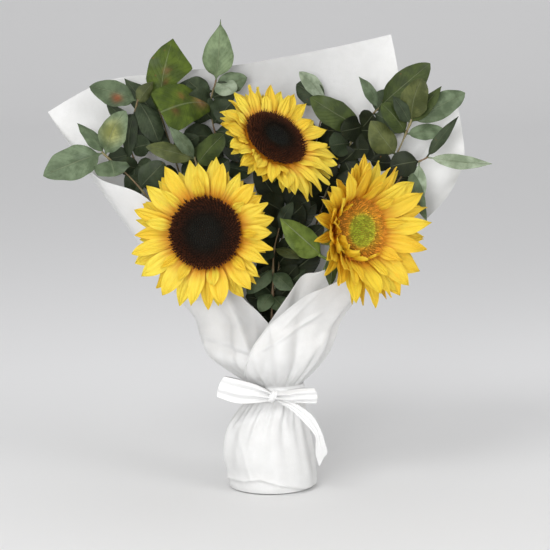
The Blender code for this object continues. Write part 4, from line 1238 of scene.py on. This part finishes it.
def add_calyx(shape, head, vary):
    """The green cup under the head, with its pointed bracts."""
    radius = head.radius
    profile = [(0.0002, -0.0205), (0.0055, -0.0195), (0.0095, -0.0172), (0.0130, -0.0142),
               (radius * COLLAR_INNER, -0.0085), (radius * 0.88, -0.0062), (radius * 0.93, -0.0045),
               (radius * 0.91, -COLLAR_THICK - 0.0003), (radius * 0.60, -COLLAR_THICK - 0.0003)]
    turn = around(CUP_SIDES)
    ribs = 1 + 0.02 * np.cos(BRACT_COUNT * turn)
    rows = [ring(span * ribs, height, turn) for span, height in profile]
    add_rings(shape, head, rows, (0, 0, 0.5), CALYX)
    share, across = blade_axes(*BRACT_GRID)
    for index in range(BRACT_COUNT * 2):
        inner = index % 2
        out = outward(math.pi * index / BRACT_COUNT)
        root = out * radius * 0.74 + (0, 0, -0.0066 - 0.0012 * inner)
        reach = BRACT_REACH * vary.uniform(0.60, 0.80) * (1.0 - 0.25 * inner)
        rise = reach * math.sin(math.radians(head.cups[1]))
        tip = out * (radius + reach) + (0, 0, BRACT_DROP + 0.003 * inner + rise)
        half = BRACT_WIDTH / 2 * np.maximum(np.minimum(0.55 + 3 * share, (1 - share) ** 0.8 * 1.35), 0.02)
        lift = 0.12 * BRACT_WIDTH * np.abs(across) ** 1.5 * np.ones_like(share)
        grid = blade_grid(head.place(root), head.place(tip), head.turn(UP), half, lift, arch=0.06,
                          curl=vary.uniform(-0.10, 0.06), twist=vary.uniform(-0.3, 0.3))
        add_sheet(shape, grid, BRACT_THICK, vary.random(), np.array(CALYX) * vary.uniform(0.8, 1.3),
                  taper=True)


def add_hairs(shape, path, vary):
    """Short stiff hairs round a sunflower's stem."""
    points = []
    faces = []
    for _ in range(HAIRS):
        share = vary.uniform(0.05, 0.98)
        foot = point_along(path, share)
        ahead = unit(point_along(path, min(share + 0.02, 1.0)) - foot + 1e-9)
        angle = vary.uniform(0, 2 * math.pi)
        across = unit(np.cross(ahead, ASIDE))
        out = across * math.cos(angle) + np.cross(ahead, across) * math.sin(angle)
        side = np.cross(ahead, out) * HAIR_WIDTH
        deep = ahead * HAIR_DEPTH
        base = foot + out * SUNFLOWER_STEM_RADIUS * 0.97
        rear = base - side * 0.5
        tip = base + (out + ahead * vary.uniform(-0.5, 0.6)) * vary.uniform(*HAIR_LENGTHS)
        start = len(points)
        points += [base + side, rear + deep, rear - deep, tip]
        faces += [(start, start + 1, start + 3), (start + 1, start + 2, start + 3),
                  (start + 2, start, start + 3)]
    shape.add(np.array(points), np.array(faces), (0.5, 0.5, 0.5), HAIR_COLOUR)


def leaf_lift(vary, width, fold):
    """Height of a leaf's section: folded along the midrib, with waved edges."""
    share, across = blade_axes(*LEAF_GRID)
    body = np.sin(math.pi * share) ** 0.7
    left = np.sin(2 * math.pi * (vary.uniform(1.0, 2.2) * share + vary.random()))
    right = np.sin(2 * math.pi * (vary.uniform(1.0, 2.2) * share + vary.random()))
    waves = np.where(across < 0, left, right) * np.abs(across) ** 2.5 * width * 0.045
    return (fold * width / 2 * np.abs(across) ** 1.25 + waves) * body


def leaf_half(vary, width, form):
    """Half-width of a leaf by row and side: a thin stalk, a rounded body and a pointed tip."""
    share, across = blade_axes(*LEAF_GRID)
    if form in ODD_FORMS:
        stops, left, right = zip(*ODD_FORMS[form])
        outline = np.where(across < 0, np.interp(share, stops, left), np.interp(share, stops, right))
        return np.maximum(width * outline, THINNEST)
    foot, point, drip = LEAF_FORMS[form]
    foot *= vary.uniform(0.94, 1.08)
    point *= vary.uniform(0.94, 1.10)
    body = np.clip((share - LEAF_STALK) / (1 - LEAF_STALK - drip), 0, 1)
    peak = foot / (foot + point)
    outline = body ** foot * (1 - body) ** point / (peak ** foot * (1 - peak) ** point)
    end = DRIP_HALF * np.clip((1 - share) / 0.15, 0, 1) if drip else 0.0
    thin = np.where(share < 0.5, STALK_HALF, end)
    uneven = 1 + vary.uniform(-0.07, 0.07) * np.sign(across)
    for waves in (2, 3, 5):
        phase = vary.uniform(0, 2 * math.pi)
        uneven = uneven + 0.05 / waves * np.sin(2 * math.pi * waves * share + phase + 1.7 * np.sign(across))
    return np.maximum(np.maximum(width / 2 * outline * uneven, thin), THINNEST)


def add_leaf(shape, root, tip, facing, width, arch, tone, form, vary, slot=0, patches=()):
    """Add one leaf, with coloured patches on it where there are any."""
    half = leaf_half(vary, width, form)
    lift = leaf_lift(vary, width, LEAF_FOLD + vary.uniform(-0.10, 0.18))
    grid = blade_grid(root, tip, facing, half, lift, arch=arch, twist=vary.uniform(-0.35, 0.35),
                      bend=vary.uniform(-0.05, 0.05), curl=vary.uniform(-0.08, 0.05))
    rows, columns = LEAF_GRID
    tone = np.array(tone) * vary.uniform(0.88, 1.12) * np.ones((rows, columns, 1))
    for along, across, radius, colour in patches:
        far_along = (np.linspace(0, 1, rows)[:, None] - along) / radius
        far_across = (np.linspace(0, 1, columns)[None, :] - across) / radius / PATCH_SPREAD
        cover = np.exp(-(far_along ** 2 + far_across ** 2))[..., None]
        tone = tone * (1 - cover) + np.array(colour) * cover
    paler = tone * 0.8 + np.array(BLOOM) * 0.2
    add_sheet(shape, grid, LEAF_THICK, vary.random(), tone, paler, slot=slot, taper=True)


def make_sunflower_stem(head, green, leaf):
    """Stem, cup and bracts of a sunflower, with the broad leaves that grow on it."""
    vary = random.Random(head.name + "_stem")
    shape = Shape()
    add_calyx(shape, head, vary)
    top = [head.place((0, 0, height)) for height in STEM_TOP]
    path = smooth_path([*foot_route(SUNFLOWER_STEMS[head.name]), *top], STEM_GRID[0])
    add_tube(shape, path, SUNFLOWER_STEM_RADIUS, STEM_GRID[1], STEM_GREEN)
    add_hairs(shape, path, vary)
    for anchor, base, tip, width, tone in SUNFLOWER_LEAVES.get(head.name, ()):
        stalk = smooth_path([anchor, (anchor + base) / 2, base], STALK_GRID[0])
        add_tube(shape, stalk, STALK_RADIUS, STALK_GRID[1], STEM_GREEN)
        add_leaf(shape, base + (anchor - base) * 0.3, tip, np.array((0.2, -0.9, 0.4)), width,
                 SIDE_LEAF_ARCH, tone, "gum", vary, slot=1)
    piece = shape.build("stem_" + head.name, [green, leaf])
    dress(piece, "sunflower_green", "sunflower_" + head.name + "_stem")


def turned(vector, axis, degrees):
    """A vector turned about a unit axis."""
    angle = math.radians(degrees)
    return (vector * math.cos(angle) + np.cross(axis, vector) * math.sin(angle)
            + axis * np.dot(axis, vector) * (1 - math.cos(angle)))


def add_filling(shape, name, path, tied_share):
    """Pairs of leaves along the inner part of a stem, behind its main leaves."""
    first, last, pairs, length, width, tone = FILL_LEAVES[name]
    vary = random.Random(name + "_filling")
    for index in range(pairs * 2):
        share = first + (last - first) * (index // 2 + vary.uniform(0.1, 0.9)) / pairs
        side = 1 if index % 2 else -1
        rise = math.radians(vary.uniform(-15, 55))
        toward = np.array((side * math.cos(rise), vary.uniform(-0.85, -0.35), math.sin(rise)))
        root = point_along(path, tied_share + (1 - tied_share) * share)
        tip = root + unit(toward) * length * vary.uniform(0.75, 1.15) * MILLIMETRE
        facing = np.array((vary.uniform(-0.25, 0.25), -1, vary.uniform(0.0, 0.4)))
        add_leaf(shape, root, tip, facing, width * MILLIMETRE * vary.uniform(0.8, 1.1), SIDE_LEAF_ARCH,
                 tone, "round" if vary.random() < 0.6 else "oval", vary)


def make_eucalyptus(name, leaf, twig):
    """One eucalyptus stem with its leaves."""
    route, leaves = EUCALYPTUS[name]
    draw = random.Random(name)
    vary = random.Random(name + "_leaves")
    shape = Shape()
    path = smooth_path(foot_route(route), TWIG_GRID[0])
    radii = np.linspace(EUCALYPTUS_STEM_RADIUS, TWIG_RADIUS * TWIG_SLIMMING, len(path))
    tied_share = 2 / (len(route) + 1)
    for share, *_ in leaves:
        place = (tied_share + (1 - tied_share) * share) * (len(path) - 1)
        radii = radii * (1 + 0.35 * np.exp(-((np.arange(len(path)) - place) / 0.8) ** 2))
    add_tube(shape, path, np.minimum(radii, EUCALYPTUS_STEM_RADIUS), TWIG_GRID[1], TWIG, slot=1)
    for number, (share, tip, width, roll, tone, form) in enumerate(leaves):
        root = point_along(path, tied_share + (1 - tied_share) * share)
        facing = turned(np.array((0.25 * draw.uniform(-1, 1), -1, 0.45)), unit(tip - root), roll)
        arch = 0.05 + 0.05 * draw.random()
        add_leaf(shape, root, tip, facing, width * MILLIMETRE, arch, tone, form, vary,
                 patches=LEAF_PATCHES.get((name, number), ()))
    if name in FILL_LEAVES:
        add_filling(shape, name, path, tied_share)
    piece = shape.build("gum_" + name, [leaf, twig])
    dress(piece, "gum_leaf_deep" if name in DEEP_STEMS else "gum_leaf", "eucalyptus_" + name)


def rim_columns(rim, corners, closed):
    """Angles and points at even steps along a rim: smooth, but straight up to each corner."""
    stops = [rim[0], *rim, rim[-1]]
    if closed:
        stops = [(rim[-1][0] + 360, rim[-1][1]), *rim, (rim[0][0] - 360, rim[0][1]),
                 (rim[1][0] - 360, rim[1][1])]
        corners = (*corners, rim[0][0] - 360)
    columns = {}
    for index in range(1, len(stops) - 2):
        (low, start), (high, end) = stops[index], stops[index + 1]
        leave = np.zeros(3) if low in corners else (end - stops[index - 1][1]) / 2
        arrive = np.zeros(3) if high in corners else (stops[index + 2][1] - start) / 2
        for step in range(math.ceil(min(low, high) / COLUMN_DEGREES),
                          math.floor(max(low, high) / COLUMN_DEGREES) + 1):
            t = (step * COLUMN_DEGREES - low) / (high - low)
            columns[step] = ((2 * t ** 3 - 3 * t * t + 1) * start + (t ** 3 - 2 * t * t + t) * leave
                             + (3 * t * t - 2 * t ** 3) * end + (t ** 3 - t * t) * arrive)
    steps = sorted(columns)
    if closed:
        steps = steps[:round(360 / COLUMN_DEGREES)]
    return np.array(steps) * COLUMN_DEGREES, np.array([columns[step] for step in steps])


def triangle_wave(value):
    """A wave between -1 and 1 with straight flanks, whose turns are creases."""
    return 2 * np.abs(2 * (value - np.floor(value + 0.5))) - 1


def crumple(turn, height):
    """Depth of the creases by angle round the waist and height, in metres."""
    x = turn * 0.9
    z = height * 11.0
    depth = 0.55 * triangle_wave(0.9 * x + 0.55 * z + 0.20 * np.sin(2.1 * z + x))
    depth += 0.45 * triangle_wave(1.7 * x - 0.80 * z + 0.15 * np.sin(1.7 * x))
    depth += 0.35 * np.sin(3.9 * x + 2.6 * z) + 0.25 * np.sin(6.1 * x - 1.9 * z + 1.0)
    return CREASE_DEPTH * depth * smooth_step(*CREASE_HEIGHTS, height)


def ribbon_hold(height):
    """1 where the paper is free, and nearly 0 where the ribbon holds it flat."""
    return 1 - 0.92 * smooth_step(0.012, 0.0075, np.abs(height - WAIST_HEIGHT))


def neck_gathers(turn, height):
    """Depth of the tight gathers on both sides of the ribbon."""
    above = np.exp(-np.maximum(height - NECK_TOP, 0) / 0.020)
    below = np.exp(-np.maximum(NECK_BOTTOM - height, 0) / 0.013)
    tight = above * below * ribbon_hold(height)
    folds = np.abs(np.cos(9 * turn + 0.8 * np.sin(2 * turn))) - 0.5 + 0.35 * np.cos(31 * turn + 2.0)
    return GATHER_DEPTH * tight * folds


def paper_folds(name, grid):
    """How far each point of a sheet stands out for its folds, and where it is a single layer, to be darkened
    with painted shade.
    """
    depth = np.zeros(grid.shape[:2])
    painted_shade = np.zeros(grid.shape[:2])
    front = grid[..., [0, 2]]
    for sheet, start, end, height, width, stays in PAPER_FOLDS:
        if sheet != name:
            continue
        start, span = mm(*start), mm(*end) - mm(*start)
        height, width = height * MILLIMETRE, width * MILLIMETRE
        length = np.linalg.norm(span)
        along = ((front - start) @ span) / length
        across = ((front - start) @ np.array((span[1], -span[0]))) / length
        beyond = np.maximum(np.maximum(-along, along - length), 0)
        fade = np.exp(-(beyond / FOLD_FADE) ** 2) * (grid[..., 1] < 0)
        if stays:
            lower = np.exp(-(np.maximum(-across, 0) / FOLD_STAY) ** 2)
            step = smooth_step(width, -width, across) * lower * fade
            depth -= height * step
            painted_shade = np.maximum(painted_shade, step)
        else:
            depth += height * np.exp(-(across / width) ** 2) * fade
    return depth * ribbon_hold(grid[..., 2]), painted_shade


def sheet_grid(name, degrees, rims, extra, bottom):
    """Points of a sheet, row by row from its foot up to its rim, and where it is a single layer, to be
    darkened with painted shade.
    """
    turn = np.radians(degrees)
    out = np.stack([np.cos(turn), np.sin(turn), np.zeros_like(turn)], -1)
    pleat = np.cos(9 * turn) + 0.6 * np.cos(14 * turn + 1.0)
    lines = smooth_path(bottom, SKIRT_ROWS)
    lines[:, 1] = np.maximum(lines[:, 1], PAPER_THICK * 0.5)
    rows = []
    for radius, height, middle, ripple in lines:
        row = out * (radius + extra + ripple * pleat)[:, None]
        rows.append(row + (middle, 0, height))
    waist = rows[-1]
    flare = 1 + FLARE * (1 + out[:, 0]) * (1 - out[:, 1]) - LEFT_FULLNESS * np.maximum(0, -out[:, 0])
    for share in np.linspace(0, 1, UPPER_ROWS + 1)[1:]:
        spot = waist + (rims - waist) * (share ** flare)[:, None]
        spot[:, 2] = waist[:, 2] + (rims[:, 2] - waist[:, 2]) * share
        climb = np.minimum((spot[:, 2] - waist[:, 2]) / PUFF_HEIGHT, 1.0)
        puff = PUFF_DEPTH * (1 - 0.16 * out[:, 0]) * 1.05 * np.sin(math.pi * climb ** 0.86) ** 1.3
        wave = (PLEAT_DEPTH * pleat + extra) * math.sin(math.pi * share)
        rows.append(spot + out * (puff + wave)[:, None])
    grid = np.array(rows)
    if name == "outer":
        hem = np.interp(degrees, *zip(*HEM)) * MILLIMETRE
        low = grid[..., 2] < HEM_REACH
        moved = hem + (grid[..., 2] - HEM_START) * (HEM_REACH - hem) / (HEM_REACH - HEM_START)
        grid[..., 2] = np.where(low, moved, grid[..., 2])
        grid += out[None] * (HEM_CLEAR * smooth_step(HEM_REACH, 0.010, grid[..., 2]))[..., None]
        rolled = smooth_step(0.972, 1.0, np.arange(len(grid)) / (len(grid) - 1))[:, None]
        grid += out[None] * (ROLLED_EDGE * rolled * smooth_step(-60, -95, degrees)[None, :])[..., None]
    folds, painted_shade = paper_folds(name, grid)
    # Painted shade: the upper back of the inner sheet counts as a single layer and is greyed
    if name == "inner":
        middle = smooth_step(*SHADED_BACK_DEGREES, -degrees) * smooth_step(*SHADED_BACK_END_DEGREES, -degrees)
        upper = smooth_step(*SHADED_BACK_HEIGHTS, grid[..., 2]) * middle[None, :]
        painted_shade = np.maximum(painted_shade, upper)
    detail = crumple(turn[None, :], grid[..., 2]) + neck_gathers(turn[None, :], grid[..., 2]) + folds
    return grid + out[None] * (detail + PAPER_THICK / 2)[..., None], painted_shade


def make_sheets(material):
    """The two sheets of paper."""
    for name, (rim, corners, bottom, extra, closed) in SHEETS.items():
        degrees, rims = rim_columns(rim, corners, closed)
        grid, painted_shade = sheet_grid(name, degrees, rims, extra, bottom)
        shape = Shape()
        # Painted shade: the paper's tone is darker where it is a single layer
        tone = np.array(PAPER) * (1 - SINGLE_LAYER_SHADE * painted_shade[..., None])
        add_sheet(shape, grid, PAPER_SHOWN, 0.5, tone, closed=closed)
        piece = shape.build("paper_" + name, [material])
        dress(piece, "wrap_paper", "wrap_" + name + "_sheet")


def between_edges(low, high, columns):
    """A grid between two edges, and the share of the way across it by column."""
    share = np.linspace(0, 1, columns)[None, :]
    return low[:, None] * (1 - share[..., None]) + high[:, None] * share[..., None], share


def add_loop(shape, top, bottom, phase):
    """One loop of the bow, between its two edges: out along the front and back behind it."""
    rows, columns = LOOP_GRID
    way = np.linspace(0, 1, rows)
    reach = np.sin(math.pi * way)
    edges = [smooth_path([mm(x, 0, z) for x, z in edge], LOOP_SAMPLES) for edge in (bottom, top)]
    low, high = (edge[np.round(reach * LOOP_SAMPLES).astype(int)] for edge in edges)
    grid, v = between_edges(low, high, columns)
    grid[..., 0] += np.sign(top[-1][0]) * LOOP_BULGE * np.sin(math.pi * v) * reach[:, None] ** 6
    opened = (0.30 + 0.70 * reach)[:, None]
    body = LOOP_DEPTH * np.cos(math.pi * way)[:, None] * opened
    drawn = (1 - reach[:, None]) ** 0.8
    pleats = (0.0023 * drawn + 0.00085) * np.cos(4.4 * math.pi * v + phase)
    swell = 0.0016 * np.sin(math.pi * v) * np.sin(math.pi * reach)[:, None]
    front = np.sign(0.5 - way)[:, None]
    grid[..., 1] = KNOT_CENTRE[1] + LOOP_SETBACK * reach[:, None] - body - front * (pleats + swell)
    add_sheet(shape, grid, RIBBON_SHOWN, 0.3, SATIN)


def round_axes(rows, columns):
    """Places from -1 to 1 across a round strip, by row, and angles round it, by column."""
    return np.linspace(-1, 1, rows)[:, None], np.linspace(0, 2 * math.pi, columns, endpoint=False)[None, :]


def add_band(shape):
    """The turn of ribbon round the neck, drawn into soft folds."""
    v, turn = round_axes(*BAND_GRID)
    radius = WAIST_RADIUS + SHEET_STEP + PAPER_THICK + BAND_CLEAR
    radius = radius + 0.0007 * np.cos(4.5 * v + 0.9 * np.sin(turn))
    radius = radius + 0.0004 * np.cos(8.0 * v + 2 * np.cos(2 * turn))
    height = WAIST_HEIGHT + v * RIBBON_HEIGHT / 2 * (1 + 0.06 * np.sin(3 * turn)) + 0.0006 * np.cos(turn)
    grid = np.stack([WAIST_CENTRE_X + radius * np.cos(turn), radius * np.sin(turn), height], -1)
    add_sheet(shape, grid, RIBBON_SHOWN, 0.6, SATIN, closed=True)


def add_knot(shape):
    """The knot: a short band wrapped upright round the middle of the bow."""
    v, turn = round_axes(*KNOT_GRID)
    width, depth, height = KNOT_SIZE
    swell = np.sqrt(np.maximum(1 - (v * 0.92) ** 2, 0.05))
    folds = 1 + 0.09 * np.cos(7 * v + 1.2 * np.sin(turn))
    x = KNOT_CENTRE[0] + width * v * (1 + 0.12 * np.cos(turn)) + 0.0012 * np.sin(turn)
    y = KNOT_CENTRE[1] + depth * np.cos(turn) * swell * folds
    z = KNOT_CENTRE[2] + height * np.sin(turn) * swell * folds
    add_sheet(shape, np.stack([x, y, z], -1), RIBBON_SHOWN, 0.8, SATIN, closed=True)


def add_tail(shape):
    """The ribbon's tail, between its two edges, with a fold along it."""
    rows, columns = TAIL_GRID
    right = smooth_path([mm(x, y, z) for (x, z), y in zip(TAIL_RIGHT, TAIL_DEPTH)], rows - 1)
    left = smooth_path([mm(x, y + TAIL_TILT, z) for (x, z), y in zip(TAIL_LEFT, TAIL_DEPTH)], rows - 1)
    grid, v = between_edges(left, right, columns)
    fade = smooth_step(1.0, 0.2, np.linspace(0, 1, rows))[:, None]
    fold = TAIL_FOLD * np.cos(2.6 * math.pi * v + 0.6) * fade
    grid = grid - grid_normals(grid) * np.abs(fold)[..., None]
    add_sheet(shape, grid, RIBBON_SHOWN, 0.1, SATIN)


def make_ribbon(material):
    """The satin ribbon: band, knot, two loops and the tail."""
    shape = Shape()
    add_band(shape)
    add_knot(shape)
    for phase, (top, bottom) in zip(LOOP_PHASES, LOOPS):
        add_loop(shape, top, bottom, phase)
    add_tail(shape)
    piece = shape.build("bow", [material])
    dress(piece, "ribbon_satin", "ribbon")


def make_floor(material):
    """A plain pale floor that curves up into the backdrop."""
    bend = np.linspace(0, math.pi / 2, SWEEP_ROWS)
    end = SWEEP_START + SWEEP_RADIUS
    y = np.array([-FLOOR_REACH, *(SWEEP_START + SWEEP_RADIUS * np.sin(bend)), end])[:, None]
    z = np.array([0.0, *(SWEEP_RADIUS * (1 - np.cos(bend))), BACKDROP_TOP])[:, None]
    x = np.linspace(-FLOOR_REACH, FLOOR_REACH, FLOOR_COLUMNS)[None, :]
    grid = np.stack(np.broadcast_arrays(x, y, z), -1)
    shape = Shape()
    shape.add(grid, grid_faces(*grid.shape[:2]), (0, 0, 0), FLOOR_FAR)
    shape.build("floor", [material])


def add_light(name, place, size, power, beam):
    """A soft area light, whose beam is as many degrees wide."""
    light = bpy.data.lights.new(name, "AREA")
    light.shape = "DISK"
    light.size = size
    light.energy = power
    light.spread = math.radians(beam)
    lamp = bpy.data.objects.new(name, light)
    lamp.location = place
    lamp.rotation_euler = (Vector(LAMP_AIM) - Vector(place)).to_track_quat("-Z", "Y").to_euler()
    lamp.visible_camera = False
    bpy.context.scene.collection.objects.link(lamp)


def set_stage():
    """Floor, lights and camera."""
    bpy.context.scene.view_settings.view_transform = "Standard"
    make_floor(floor_material())
    for name, lamp in LAMPS.items():
        add_light(name, *lamp)
    world = bpy.data.worlds.new("room")
    world.use_nodes = True
    background = world.node_tree.nodes["Background"]
    background.inputs["Color"].default_value = (1, 1, 1, 1)
    background.inputs["Strength"].default_value = ROOM_LIGHT
    bpy.context.scene.world = world
    lens = bpy.data.cameras.new("camera")
    lens.lens = CAMERA_LENS
    lens.sensor_width = SENSOR_WIDTH
    camera = bpy.data.objects.new("camera", lens)
    camera.location = CAMERA_PLACE
    camera.rotation_euler = (math.radians(90 - CAMERA_TILT), 0, 0)
    bpy.context.scene.collection.objects.link(camera)
    bpy.context.scene.camera = camera


def main():
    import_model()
    petal = petal_material()
    florets = disc_material()
    green = green_stem_material()
    broad_leaf = leaf_material("sunflower_leaf", 0.52, 7.0, 5.0, 0.75)
    gum_leaf = leaf_material("gum_leaf", 0.55, 11.0, 7.0, 0.22)
    twig = twig_material()
    for name in HEADS:
        head = Head(name)
        make_petals(head, petal)
        make_disc(head, florets)
        make_sunflower_stem(head, green, broad_leaf)
    for name in EUCALYPTUS:
        make_eucalyptus(name, gum_leaf, twig)
    make_sheets(paper_material())
    make_ribbon(satin_material())
    tie = bpy.data.objects["stem_tie"]
    tie.data.materials[0] = twine_material()
    set_stage()


main()
